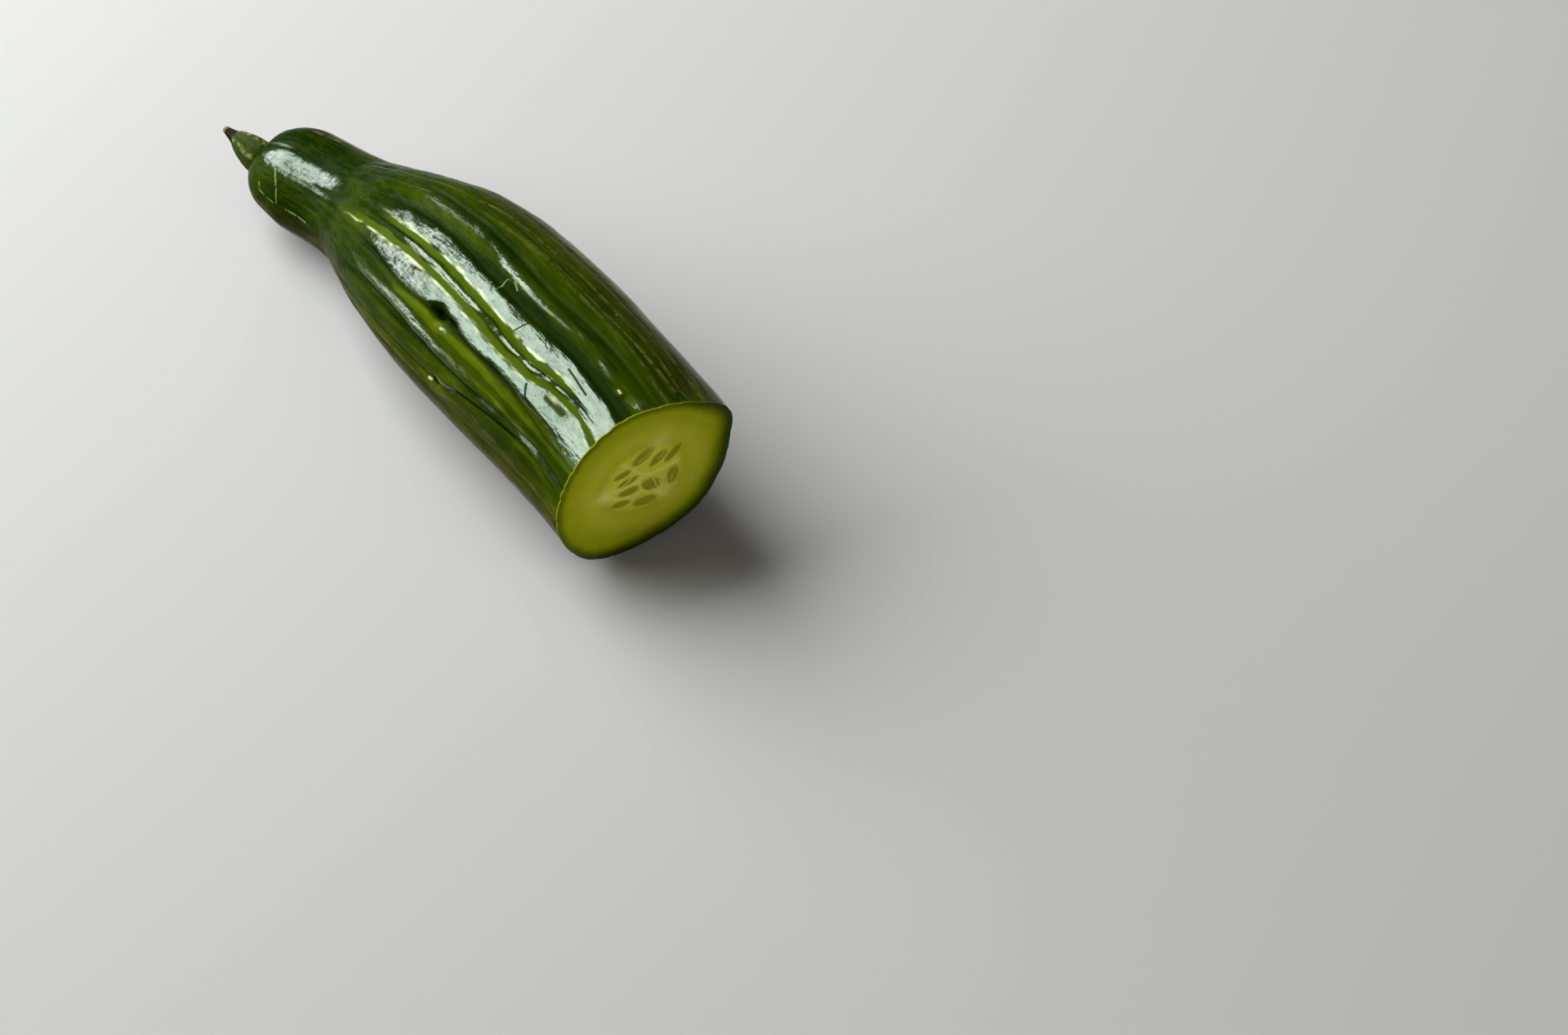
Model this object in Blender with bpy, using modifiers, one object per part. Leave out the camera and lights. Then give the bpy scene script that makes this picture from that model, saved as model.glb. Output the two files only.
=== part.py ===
"""A cucumber cut across: its stem-end piece, lying on its side.

The fruit is one solid that holds its ribs, its pit and warts, and the seeds of its cut face in
relief. The stem is a second solid, in a shallow seat at the fruit's narrow end. X runs from the
stem to the cut, Y across, Z up, in metres, and the origin is on the surface under the part's middle.

Along the fruit a place is a share: 0 at the stem end, 1 at the cut. Round it a place is an angle in
degrees: 0 at +Y, 90 on top, 180 at -Y and 270 where it rests.
"""

import math
import random

import bpy
import numpy as np

MM = 0.001

# The fruit's size and bend
FRUIT_LENGTH = 140.7 * MM
# Share along the fruit and radius there
RADII = [
    (0.00, 7.1 * MM),
    (0.10, 11.9 * MM),
    (0.16, 12.0 * MM),
    (0.23, 12.8 * MM),
    (0.30, 14.9 * MM),
    (0.38, 17.5 * MM),
    (0.50, 20.4 * MM),
    (0.60, 21.3 * MM),
    (0.70, 21.4 * MM),
    (0.85, 20.8 * MM),
    (1.00, 20.3 * MM),
]
# Share along the fruit and the centreline's heading there, turned from +X towards +Y
HEADINGS = [
    (0.00, 9.0),
    (0.06, 20.5),
    (0.12, 13.4),
    (0.20, 6.1),
    (0.32, -6.0),
    (0.45, -1.6),
    (0.70, -2.3),
    (1.00, -9.4),
]
# The stem end is rounded off over this share, and its underside lifts over a longer one
CAP_SHARE = 0.043
LIFT = 6.2 * MM
LIFT_SHARE = 0.12
# The cut leans forward at its top, over the last of the fruit
CUT_LEAN = 2.2
LEAN_FROM = 0.9

# The section is a little square past the neck, and more and more oval towards the cut
FOUR_SIDED = 0.50 * MM
FOUR_SIDED_TURN = 40.0
THREE_SIDED = 0.27 * MM
THREE_SIDED_TURN = 30.0
SQUARE_FROM, SQUARE_TO = 0.3, 0.6
OVAL = [(0.3, 0.0), (0.6, 0.30 * MM), (0.8, 0.32 * MM), (1.0, 1.0 * MM)]
OVAL_TURN = 56.0
# Angle and radius of the cut's own outline, which the section takes on from this share to the cut
CUT_FROM = 0.84
CUT_OUTLINE = [
    (0.0, 19.4 * MM),
    (28.0, 21.8 * MM),
    (55.0, 19.9 * MM),
    (80.0, 19.3 * MM),
    (103.0, 19.7 * MM),
    (130.0, 19.0 * MM),
    (160.0, 18.6 * MM),
    (185.0, 19.4 * MM),
    (213.0, 20.8 * MM),
    (236.0, 22.0 * MM),
    (256.0, 21.0 * MM),
    (280.0, 19.8 * MM),
    (310.0, 19.7 * MM),
    (335.0, 19.0 * MM),
]

# Furrows on the upper side: depth, then share and angle along each
UPPER_FURROWS = [
    (0.35 * MM, [(0.30, 62.0), (0.50, 51.0), (1.00, 50.0)]),
    (0.35 * MM, [(0.30, 79.0), (0.50, 67.0), (1.00, 66.0)]),
    (0.40 * MM, [(0.30, 93.0), (0.50, 80.0), (0.62, 80.5), (0.74, 84.0), (0.85, 80.0), (1.00, 80.0)]),
    (0.50 * MM, [(0.40, 103.0), (0.55, 99.0), (0.65, 102.0), (0.75, 103.5), (0.87, 100.5), (1.00, 102.0)]),
    (
        0.65 * MM,
        [(0.45, 116.0), (0.55, 115.0), (0.71, 117.8), (0.81, 119.8), (0.86, 117.5)]
        + [(0.92, 115.0), (1.00, 113.5)],
    ),
    (
        0.65 * MM,
        [(0.33, 128.0), (0.45, 124.5), (0.55, 123.3), (0.70, 125.3), (0.78, 127.2), (0.84, 126.2)]
        + [(0.89, 122.5), (0.94, 121.3), (1.00, 124.5)],
    ),
    (
        0.70 * MM,
        [(0.47, 137.5), (0.55, 142.0), (0.61, 140.5), (0.67, 138.0), (0.73, 140.0), (0.80, 139.0)]
        + [(0.87, 142.0), (0.94, 146.0), (1.00, 146.0)],
    ),
    (0.20 * MM, [(0.45, 143.5), (0.56, 148.5), (0.66, 149.0), (0.80, 148.0), (0.90, 150.0), (1.00, 153.0)]),
    (
        0.60 * MM,
        [(0.41, 151.5), (0.46, 156.0), (0.55, 156.5), (0.62, 159.0), (0.70, 160.5), (0.76, 159.0)]
        + [(0.82, 156.0), (0.90, 156.0), (1.00, 160.5)],
    ),
    (
        0.45 * MM,
        [(0.50, 179.0), (0.66, 178.0), (0.73, 168.5), (0.77, 166.0), (0.82, 162.7), (0.86, 161.5)]
        + [(0.92, 164.0), (1.00, 169.0)],
    ),
    (0.40 * MM, [(0.50, 190.0), (1.00, 188.0)]),
]
# Furrows of the lower and far sides, spread evenly between these angles with a seeded sway
LOWER_FURROW_COUNT = 11
LOWER_FROM, LOWER_TO = 204.0, 388.0
LOWER_DEPTH = 0.35 * MM
DEPTH_SPREAD = (0.8, 1.2)
SWAY = 1.8
SWAY_WAVES = (1.0, 2.0)
SEED_OF_SWAY = 7
# Share along the fruit and the share of its depth that a furrow has there
DEPTH_ALONG = [(0.00, 0.0), (0.06, 0.1), (0.30, 0.4), (0.50, 0.9), (0.90, 1.0), (1.00, 0.45)]
HUMP_FULLNESS = 0.8

# Pit and warts: share, angle, half-length along, half-width across, height (a pit's is negative)
MARKS = [
    (0.642, 138.0, 2.4 * MM, 1.6 * MM, -1.30 * MM),
    (0.672, 136.0, 3.0 * MM, 0.9 * MM, -0.45 * MM),
    (0.697, 171.5, 3.2 * MM, 1.2 * MM, 0.45 * MM),
    (0.668, 176.5, 1.6 * MM, 1.4 * MM, -0.40 * MM),
    (0.716, 106.5, 1.0 * MM, 1.0 * MM, 0.30 * MM),
    (0.956, 94.0, 1.4 * MM, 1.2 * MM, 0.40 * MM),
    (0.988, 88.0, 1.2 * MM, 1.2 * MM, 0.35 * MM),
]
# Shares of a mark's size at which its top ends and its foot is reached
MARK_TOP, MARK_FOOT = 0.2, 1.4

# The flat spot that the fruit rests on: its middle, how far it reaches each way as a share, how far
# round it the furrows fade out, and how far the underside lifts beyond it
REST_AT = 0.64
REST_NEAR, REST_FAR = 0.10, 0.30
REST_INNER_ANGLE, REST_OUTER_ANGLE = 12.0, 20.0
REST_SINK = 0.40 * MM
ARCH = 0.50 * MM

# Cut face: seeds by place across and up, turn, length and width
SEEDS = [
    (0.0, 6.6, 33.0, 5.4, 2.5),
    (3.3, 4.4, 40.0, 4.7, 2.1),
    (6.6, 4.1, 46.0, 4.9, 1.7),
    (-4.6, 3.5, 15.0, 3.8, 1.6),
    (-3.6, 0.9, 9.0, 4.8, 1.5),
    (-3.3, -2.1, 2.0, 4.7, 2.0),
    (-5.2, -4.9, -8.0, 4.2, 1.8),
    (0.2, -6.8, -10.0, 5.3, 2.4),
    (1.7, -2.6, -35.0, 4.6, 3.1),
    (6.4, -2.3, 78.0, 4.6, 2.7),
]
SEED_HEIGHT = 0.40 * MM
SEED_TOP, SEED_FOOT = 0.5, 1.2
RIM_WIDTH = 0.9 * MM
CORE_SHARE = 0.52
CORE_RINGS = 8

# The stem
STEM_LENGTH = 12.5 * MM
# Distance out from the seat and radius there
STEM_RADII = [
    (0.0, 3.5 * MM),
    (1.5 * MM, 3.75 * MM),
    (5.0 * MM, 3.2 * MM),
    (8.0 * MM, 2.2 * MM),
    (9.3 * MM, 1.5 * MM),
    (12.5 * MM, 0.7 * MM),
]
STEM_RIDGES = 5
RIDGE_SHARE = 0.14
SEAT_RADIUS = 4.5 * MM
SEAT_DEPTH = 0.5 * MM
GAP = 0.3 * MM

# How finely the solids are cut into faces
COLUMNS_A_FURROW = 4
SIDE_ROWS = 35
ROW_SPREAD = 1.15
# Rows set through the pit, as distances from its middle, and the room that the other rows leave them
PIT_ROWS = [-2.2 * MM, -0.8 * MM, 0.8 * MM, 2.2 * MM]
ROW_ROOM = 1.0 * MM
CAP_ROWS = 5
STEM_COLUMNS = STEM_RIDGES * 4
STEM_ROWS = 14
CENTRELINE_STEPS = 400
WELD = 0.01 * MM
SHARP_ANGLE = 50.0

# Colour and roughness of each finish
SKIN = ((0.016, 0.045, 0.004, 1.0), 0.28)
FLESH = ((0.22, 0.24, 0.03, 1.0), 0.45)
STEM = ((0.09, 0.16, 0.02, 1.0), 0.5)


def clear_scene():
    for obj in list(bpy.data.objects):
        bpy.data.objects.remove(obj)


def smooth_between(stations, places):
    """A smooth curve through the stations that never swings past them, read at the places."""
    at, value = np.array(stations, float).T
    step = np.diff(at)
    slope = np.diff(value) / step
    tangent = np.concatenate([[slope[0]], np.zeros(len(at) - 2), [slope[-1]]])
    for k in range(1, len(at) - 1):
        if slope[k - 1] * slope[k] > 0:
            before = (2 * step[k] + step[k - 1]) / (3 * (step[k] + step[k - 1]))
            tangent[k] = slope[k - 1] * slope[k] / (before * slope[k] + (1 - before) * slope[k - 1])
    places = np.clip(places, at[0], at[-1])
    k = np.clip(np.searchsorted(at, places, side="right") - 1, 0, len(step) - 1)
    t = (places - at[k]) / step[k]
    start = (1 + 2 * t) * (1 - t) ** 2 * value[k] + t * (1 - t) ** 2 * step[k] * tangent[k]
    end = t**2 * (3 - 2 * t) * value[k + 1] - t**2 * (1 - t) * step[k] * tangent[k + 1]
    return start + end


def ramp(value, low, high):
    """0 below low, 1 above high and a smooth S between."""
    t = np.clip((value - low) / (high - low), 0.0, 1.0)
    return t * t * (3 - 2 * t)


def cosine(degrees):
    return np.cos(np.radians(degrees))


def sine(degrees):
    return np.sin(np.radians(degrees))


def angle_between(a, b):
    """How far angle a lies past angle b, from -180 to 180 degrees."""
    return (a - b + 180.0) % 360.0 - 180.0


def full_radius(share):
    """The radius before the stem end is rounded off."""
    return smooth_between(RADII, share)


def centre_height(share):
    """Height of the centreline: the underside lies along the surface and lifts at the stem end."""
    lift = LIFT * np.clip(1.0 - share / LIFT_SHARE, 0.0, 1.0) ** 2
    return full_radius(share) + lift + ARCH * ramp(np.abs(share - REST_AT), REST_NEAR, REST_FAR)


def rounded_radius(share):
    """The radius with the stem end rounded off as a quarter of an ellipse."""
    to_cap = 1.0 - np.clip(share / CAP_SHARE, 0.0, 1.0)
    return full_radius(share) * np.sqrt(1.0 - to_cap**2)


def centreline(share):
    """Centre points and the directions across, up and along there, for an array of shares."""
    fine = np.linspace(0.0, 1.0, CENTRELINE_STEPS + 1)
    heading = smooth_between(HEADINGS, fine)
    run = FRUIT_LENGTH / CENTRELINE_STEPS
    ways = np.stack([cosine(heading), sine(heading)], axis=1)
    middle = (ways[1:] + ways[:-1]) / 2 * run
    ground = np.vstack([[0.0, 0.0], np.cumsum(middle, axis=0)])
    points = np.column_stack([ground, centre_height(fine)])
    inside = np.clip(share, 0.0, 1.0)
    centre = np.stack([np.interp(inside, fine, points[:, axis]) for axis in range(3)], axis=1)
    slopes = np.gradient(points, axis=0)
    along = np.stack([np.interp(inside, fine, slopes[:, axis]) for axis in range(3)], axis=1)
    along /= np.linalg.norm(along, axis=1)[:, None]
    across = np.column_stack([-along[:, 1], along[:, 0], np.zeros(len(along))])
    across /= np.linalg.norm(across, axis=1)[:, None]
    up = np.cross(along, across)
    return centre, across, up, along


def furrows():
    """Every furrow in order of angle, as its depth and a function from share to angle."""
    found = []
    for depth, path in UPPER_FURROWS:
        found.append((depth, lambda share, path=path: smooth_between(path, share)))
    sway = random.Random(SEED_OF_SWAY)
    for k in range(LOWER_FURROW_COUNT):
        middle = LOWER_FROM + (LOWER_TO - LOWER_FROM) * k / (LOWER_FURROW_COUNT - 1)
        waves, start = sway.uniform(*SWAY_WAVES), sway.uniform(0.0, 360.0)
        depth = LOWER_DEPTH * sway.uniform(*DEPTH_SPREAD)
        found.append(
            (depth, lambda share, m=middle, n=waves, s=start: m + SWAY * sine(360.0 * n * share + s))
        )
    return found


FURROWS = furrows()


def rib_relief(share, column):
    """Angle and furrow depth of each vertex: columns run evenly from each furrow to the next."""
    count = len(FURROWS)
    behind = column // COLUMNS_A_FURROW
    part = (column % COLUMNS_A_FURROW) / COLUMNS_A_FURROW
    angle = np.zeros(len(share))
    depth = np.zeros(len(share))
    for k, (own_depth, path) in enumerate(FURROWS):
        here = behind == k
        next_depth, next_path = FURROWS[(k + 1) % count]
        first = path(share[here])
        second = next_path(share[here]) + (360.0 if k + 1 == count else 0.0)
        angle[here] = first + (second - first) * part[here]
        depth[here] = own_depth + (next_depth - own_depth) * part[here]
    hump = np.sin(np.pi * part) ** HUMP_FULLNESS
    depth *= (1.0 - hump) * smooth_between(DEPTH_ALONG, share)
    at_rest = 1.0 - ramp(np.abs(share - REST_AT), REST_NEAR, REST_FAR)
    under = 1.0 - ramp(np.abs(angle_between(angle, 270.0)), REST_INNER_ANGLE, REST_OUTER_ANGLE)
    return angle, depth * (1.0 - at_rest * under)


def mark_relief(share, angle, radius):
    """Height that the pit and the warts add to the skin."""
    height = np.zeros(len(share))
    for at, turn, half_length, half_width, tall in MARKS:
        along = (share - at) * FRUIT_LENGTH / half_length
        across = np.radians(angle_between(angle, turn)) * radius / half_width
        height += tall * (1.0 - ramp(np.hypot(along, across), MARK_TOP, MARK_FOOT))
    return height


def section_radius(share, angle):
    """Radius of the section without its furrows and marks."""
    square = FOUR_SIDED * cosine(4 * (angle - FOUR_SIDED_TURN))
    square += THREE_SIDED * cosine(3 * (angle - THREE_SIDED_TURN))
    oval = smooth_between(OVAL, share) * cosine(2 * (angle - OVAL_TURN))
    body = rounded_radius(share) + ramp(share, SQUARE_FROM, SQUARE_TO) * square + oval
    before = [(turn - 360.0, radius) for turn, radius in CUT_OUTLINE]
    after = [(turn + 360.0, radius) for turn, radius in CUT_OUTLINE]
    cut = smooth_between(before + CUT_OUTLINE + after, angle % 360.0)
    return body + ramp(share, CUT_FROM, 1.0) * (cut - body)


def skin_radius(share, column):
    """Angle and radius of each vertex of the skin."""
    angle, depth = rib_relief(share, column)
    radius = section_radius(share, angle) - depth
    return angle, radius + mark_relief(share, angle, radius)


def seed_relief(across, up):
    """Height of the seeds over the cut, from places on the cut face."""
    height = np.zeros(len(across))
    for seed_across, seed_up, turn, length, width in SEEDS:
        x, y = across - seed_across * MM, up - seed_up * MM
        along = (x * cosine(turn) + y * sine(turn)) / (length * MM / 2)
        aside = (y * cosine(turn) - x * sine(turn)) / (width * MM / 2)
        height = np.maximum(height, SEED_HEIGHT * (1.0 - ramp(np.hypot(along, aside), SEED_TOP, SEED_FOOT)))
    return height


def side_shares():
    """Shares of the side's rows from the cut to the seat, closer together round the stem end and pit."""
    side = CAP_SHARE + (1.0 - CAP_SHARE) * np.linspace(0.0, 1.0, SIDE_ROWS) ** ROW_SPREAD
    pit = MARKS[0][0] + np.array(PIT_ROWS) / FRUIT_LENGTH
    side = [share for share in side if np.abs(pit - share).min() > ROW_ROOM / FRUIT_LENGTH]
    first = math.acos(1.0 - seat_share() / CAP_SHARE)
    turns = np.linspace(math.pi / 2, first, CAP_ROWS + 1)[1:]
    cap = CAP_SHARE * (1.0 - np.cos(turns))
    return np.sort(np.concatenate([side, pit, cap]))[::-1]


def seat_share():
    """Share where the rounded end is as wide as the stem's seat."""
    return CAP_SHARE * (1.0 - math.sqrt(1.0 - (SEAT_RADIUS / full_radius(0.0)) ** 2))


def cut_rings():
    """Shares of the rim's radius for the rings of the cut face, from the middle out."""
    core = np.linspace(0.0, CORE_SHARE, CORE_RINGS + 1)[1:]
    inner_rim = 1.0 - RIM_WIDTH / full_radius(1.0)
    return [*core, (CORE_SHARE + inner_rim) / 2, inner_rim]


def turned_blank(name, profile, columns):
    """A straight blank turned from a profile of (radius, height) points, top to bottom, as a mesh."""
    mesh = bpy.data.meshes.new(name)
    edges = [(k, k + 1) for k in range(len(profile) - 1)]
    mesh.from_pydata([(radius, 0.0, height) for radius, height in profile], edges, [])
    blank = bpy.data.objects.new(name, mesh)
    bpy.context.scene.collection.objects.link(blank)
    screw = blank.modifiers.new("Turn", "SCREW")
    screw.steps = columns
    screw.render_steps = columns
    screw.use_merge_vertices = True
    screw.merge_threshold = WELD
    bpy.context.view_layer.update()
    evaluated = blank.evaluated_get(bpy.context.evaluated_depsgraph_get())
    solid = bpy.data.meshes.new_from_object(evaluated)
    bpy.data.objects.remove(blank)
    return solid


def coordinates(mesh):
    points = np.empty(len(mesh.vertices) * 3, np.float32)
    mesh.vertices.foreach_get("co", points)
    return points.reshape(-1, 3).astype(float)


def fruit_blank_profile():
    """From the middle of the cut out to the rim, down the side and into the stem's seat."""
    rim = rounded_radius(np.array([1.0]))[0]
    profile = [(0.0, FRUIT_LENGTH)]
    profile += [(ring * rim, FRUIT_LENGTH) for ring in cut_rings()]
    shares = side_shares()
    profile += [(rounded_radius(np.array([s]))[0], s * FRUIT_LENGTH) for s in shares]
    floor = shares[-1] * FRUIT_LENGTH + SEAT_DEPTH
    profile += [(SEAT_RADIUS - SEAT_DEPTH / 2, floor), (0.0, floor)]
    return profile


def make_fruit():
    columns = COLUMNS_A_FURROW * len(FURROWS)
    mesh = turned_blank("fruit", fruit_blank_profile(), columns)
    blank = coordinates(mesh)
    share = blank[:, 2] / FRUIT_LENGTH
    reach = np.hypot(blank[:, 0], blank[:, 1])
    turn = np.degrees(np.arctan2(blank[:, 1], blank[:, 0])) % 360.0
    column = np.round(turn / 360.0 * columns).astype(int) % columns
    on_cut = np.isclose(share, 1.0)
    # The floor of the stem's seat is less wide than the rounded end would be there
    angle, radius = skin_radius(share, column)
    scale = np.minimum(reach / rounded_radius(share), 1.0)
    across = radius * scale * cosine(angle)
    up = radius * scale * sine(angle)
    out = np.where(on_cut, seed_relief(across, up), 0.0)
    out += math.tan(math.radians(CUT_LEAN)) * up * ramp(share, LEAN_FROM, 1.0)
    centre, side_way, up_way, along_way = centreline(share)
    points = centre + across[:, None] * side_way + up[:, None] * up_way + out[:, None] * along_way
    # The underside is pressed to one flat spot
    points[:, 2] = np.maximum(points[:, 2] - REST_SINK, 0.0)
    mesh.vertices.foreach_set("co", points.astype(np.float32).ravel())
    fruit = finished("fruit", mesh, material("skin", *SKIN))
    mesh.materials.append(material("flesh", *FLESH))
    inner_rim = cut_rings()[-1]
    for polygon in mesh.polygons:
        corners = list(polygon.vertices)
        if on_cut[corners].all() and scale[corners].mean() < inner_rim:
            polygon.material_index = 1
    return fruit


def make_stem():
    seat_floor = side_shares()[-1] + SEAT_DEPTH / FRUIT_LENGTH
    heights = np.linspace(0.0, STEM_LENGTH, STEM_ROWS)
    radii = smooth_between(STEM_RADII, heights)
    # Height runs up from the tip, so the profile starts at the seat
    profile = [(0.0, STEM_LENGTH)]
    profile += [(radius, STEM_LENGTH - height) for radius, height in zip(radii, heights)]
    profile += [(0.0, 0.0)]
    mesh = turned_blank("stem", profile, STEM_COLUMNS)
    blank = coordinates(mesh)
    reach = np.hypot(blank[:, 0], blank[:, 1])
    turn = np.degrees(np.arctan2(blank[:, 1], blank[:, 0]))
    out = STEM_LENGTH - blank[:, 2]
    ridged = reach * (1.0 + RIDGE_SHARE * cosine(STEM_RIDGES * turn))
    centre, side_way, up_way, along_way = centreline(np.full(len(blank), seat_floor))
    points = centre - (GAP + out)[:, None] * along_way
    points += (ridged * cosine(turn))[:, None] * side_way + (ridged * sine(turn))[:, None] * up_way
    points[:, 2] -= REST_SINK
    mesh.vertices.foreach_set("co", points.astype(np.float32).ravel())
    return finished("stem", mesh, material("stem", *STEM))


def material(name, colour, roughness):
    made = bpy.data.materials.new(name)
    made.use_nodes = True
    shader = made.node_tree.nodes["Principled BSDF"]
    shader.inputs["Base Color"].default_value = colour
    shader.inputs["Roughness"].default_value = roughness
    shader.inputs["Metallic"].default_value = 0.0
    made.diffuse_color = colour
    return made


def finished(name, mesh, finish):
    """The mesh as a named object, smooth except at the cut's edge and the seat's."""
    mesh.materials.clear()
    mesh.materials.append(finish)
    mesh.update()
    mesh.shade_smooth()
    mesh.set_sharp_from_angle(angle=math.radians(SHARP_ANGLE))
    return bpy.data.objects.new(name, mesh)


def stand_on_origin(objects):
    """Moves the meshes so that the origin is at the bottom middle of the box round them all."""
    corners = np.vstack([coordinates(obj.data) for obj in objects])
    low, high = corners.min(axis=0), corners.max(axis=0)
    shift = np.array([(low[0] + high[0]) / 2, (low[1] + high[1]) / 2, low[2]])
    for obj in objects:
        points = coordinates(obj.data) - shift
        obj.data.vertices.foreach_set("co", points.astype(np.float32).ravel())
        obj.data.update()


def main():
    clear_scene()
    collection = bpy.data.collections.new("cucumber")
    bpy.context.scene.collection.children.link(collection)
    objects = [make_fruit(), make_stem()]
    stand_on_origin(objects)
    for obj in objects:
        collection.objects.link(obj)


main()
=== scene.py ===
"""The look of the cut cucumber: its skin, the flesh of its cut face and its stem, at full detail.

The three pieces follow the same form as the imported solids. A place along the fruit is a share, from
0 at the stem end to 1 at the cut. A place round it is an angle in degrees: 0 at +Y, 90 on top, 180
at -Y and 270 where the fruit rests.
"""

import math
import random

import bpy
import numpy as np
from mathutils import Matrix, Vector, noise


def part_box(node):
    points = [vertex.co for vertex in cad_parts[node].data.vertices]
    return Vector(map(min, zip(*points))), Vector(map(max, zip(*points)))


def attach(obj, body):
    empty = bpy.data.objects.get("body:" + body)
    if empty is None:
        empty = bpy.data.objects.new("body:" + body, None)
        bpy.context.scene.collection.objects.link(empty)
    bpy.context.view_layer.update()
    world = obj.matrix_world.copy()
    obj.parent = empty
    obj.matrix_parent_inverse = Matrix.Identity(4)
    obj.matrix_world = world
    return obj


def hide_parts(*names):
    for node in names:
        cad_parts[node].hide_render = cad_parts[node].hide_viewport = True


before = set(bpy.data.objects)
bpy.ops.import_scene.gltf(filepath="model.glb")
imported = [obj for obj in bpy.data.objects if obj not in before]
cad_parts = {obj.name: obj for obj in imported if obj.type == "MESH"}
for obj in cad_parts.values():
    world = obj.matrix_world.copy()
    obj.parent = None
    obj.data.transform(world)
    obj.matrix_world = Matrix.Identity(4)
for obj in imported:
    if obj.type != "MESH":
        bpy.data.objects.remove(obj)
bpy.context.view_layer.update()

MM = 0.001

# The fruit's size and bend, as in the solids
FRUIT_LENGTH = 140.7 * MM
RADII = [
    (0, 7.1 * MM), (0.1, 11.9 * MM), (0.16, 12 * MM), (0.23, 12.8 * MM), (0.3, 14.9 * MM),
    (0.38, 17.5 * MM), (0.5, 20.4 * MM), (0.6, 21.3 * MM), (0.7, 21.4 * MM), (0.85, 20.8 * MM),
    (1, 20.3 * MM),
]
HEADINGS = [
    (0, 9), (0.06, 20.5), (0.12, 13.4), (0.2, 6.1), (0.32, -6), (0.45, -1.6), (0.7, -2.3), (1, -9.4),
]
CAP_SHARE = 0.043
LIFT = 6.2 * MM
LIFT_SHARE = 0.12
CUT_LEAN = 2.2
LEAN_FROM = 0.9
FOUR_SIDED, FOUR_SIDED_TURN = 0.50 * MM, 40.0
THREE_SIDED, THREE_SIDED_TURN = 0.27 * MM, 30.0
SQUARE_FROM, SQUARE_TO = 0.3, 0.6
OVAL = [(0.3, 0), (0.6, 0.3 * MM), (0.8, 0.32 * MM), (1, 1 * MM)]
OVAL_TURN = 56.0
CUT_FROM = 0.84
CUT_OUTLINE = [
    (0, 19.4 * MM), (28, 21.8 * MM), (55, 19.9 * MM), (80, 19.3 * MM), (103, 19.7 * MM), (130, 19 * MM),
    (160, 18.6 * MM), (185, 19.4 * MM), (213, 20.8 * MM), (236, 22 * MM), (256, 21 * MM), (280, 19.8 * MM),
    (310, 19.7 * MM), (335, 19 * MM),
]
REST_AT = 0.64
REST_NEAR, REST_FAR = 0.10, 0.30
REST_INNER_ANGLE, REST_OUTER_ANGLE = 12.0, 20.0
REST_SINK = 0.40 * MM
ARCH = 0.50 * MM

# Furrows, as in the solids: depth, then share and angle along each
UPPER_FURROWS = [
    (0.35 * MM, [(0.3, 62), (0.5, 51), (1, 50)]),
    (0.35 * MM, [(0.3, 79), (0.5, 67), (1, 66)]),
    (0.4 * MM, [(0.3, 93), (0.5, 80), (0.62, 80.5), (0.74, 84), (0.85, 80), (1, 80)]),
    (0.5 * MM, [(0.4, 103), (0.55, 99), (0.65, 102), (0.75, 103.5), (0.87, 100.5), (1, 102)]),
    (0.65 * MM,
     [(0.45, 116), (0.55, 115), (0.71, 117.8), (0.81, 119.8), (0.86, 117.5), (0.92, 115), (1, 113.5)]),
    (0.65 * MM,
     [(0.33, 128), (0.45, 124.5), (0.55, 123.3), (0.7, 125.3), (0.78, 127.2), (0.84, 126.2), (0.89, 122.5),
      (0.94, 121.3), (1, 124.5)]),
    (0.7 * MM,
     [(0.47, 137.5), (0.55, 142), (0.61, 140.5), (0.67, 138), (0.73, 140), (0.8, 139), (0.87, 142),
      (0.94, 146), (1, 146)]),
    (0.2 * MM, [(0.45, 143.5), (0.56, 148.5), (0.66, 149), (0.8, 148), (0.9, 150), (1, 153)]),
    (0.6 * MM,
     [(0.41, 151.5), (0.46, 156), (0.55, 156.5), (0.62, 159), (0.7, 160.5), (0.76, 159), (0.82, 156),
      (0.9, 156), (1, 160.5)]),
    (0.45 * MM,
     [(0.5, 179), (0.66, 178), (0.73, 168.5), (0.77, 166), (0.82, 162.7), (0.86, 161.5), (0.92, 164),
      (1, 169)]),
    (0.4 * MM, [(0.5, 190), (1, 188)]),
]
LOWER_FURROW_COUNT = 11
LOWER_FROM, LOWER_TO = 204.0, 388.0
LOWER_DEPTH = 0.35 * MM
DEPTH_SPREAD = (0.8, 1.2)
SWAY = 1.8
SWAY_WAVES = (1.0, 2.0)
SEED_OF_SWAY = 7
DEPTH_ALONG = [(0, 0), (0.06, 0.1), (0.3, 0.4), (0.5, 0.9), (0.9, 1), (1, 0.45)]
HUMP_FULLNESS = 0.8

# Each upper furrow's floor: half-width, paleness, the shares between which it is pale, and on which
# side it has a pale lip: 1 on the side of the larger angle, -1 on the other
PLAIN_FLOOR = (0.4, 1.1, 0)
FLOORS = [
    (0.15 * MM, 0.1, *PLAIN_FLOOR),
    (0.15 * MM, 0.1, *PLAIN_FLOOR),
    (0.2 * MM, 0.1, *PLAIN_FLOOR),
    (0.3 * MM, 0, *PLAIN_FLOOR),
    (0.55 * MM, 1, 0.4, 0.93, -1),
    (0.6 * MM, 1, 0.33, 1.1, 1),
    (0.15 * MM, 0, *PLAIN_FLOOR),
    (1.2 * MM, 0, *PLAIN_FLOOR),
    (0.2 * MM, 0, *PLAIN_FLOOR),
    (0.15 * MM, 0, *PLAIN_FLOOR),
    (0.15 * MM, 0.1, *PLAIN_FLOOR),
]
LOWER_FLOOR = (0.2 * MM, 0.2, *PLAIN_FLOOR)
WALL_WIDTH = 0.75 * MM

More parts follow.
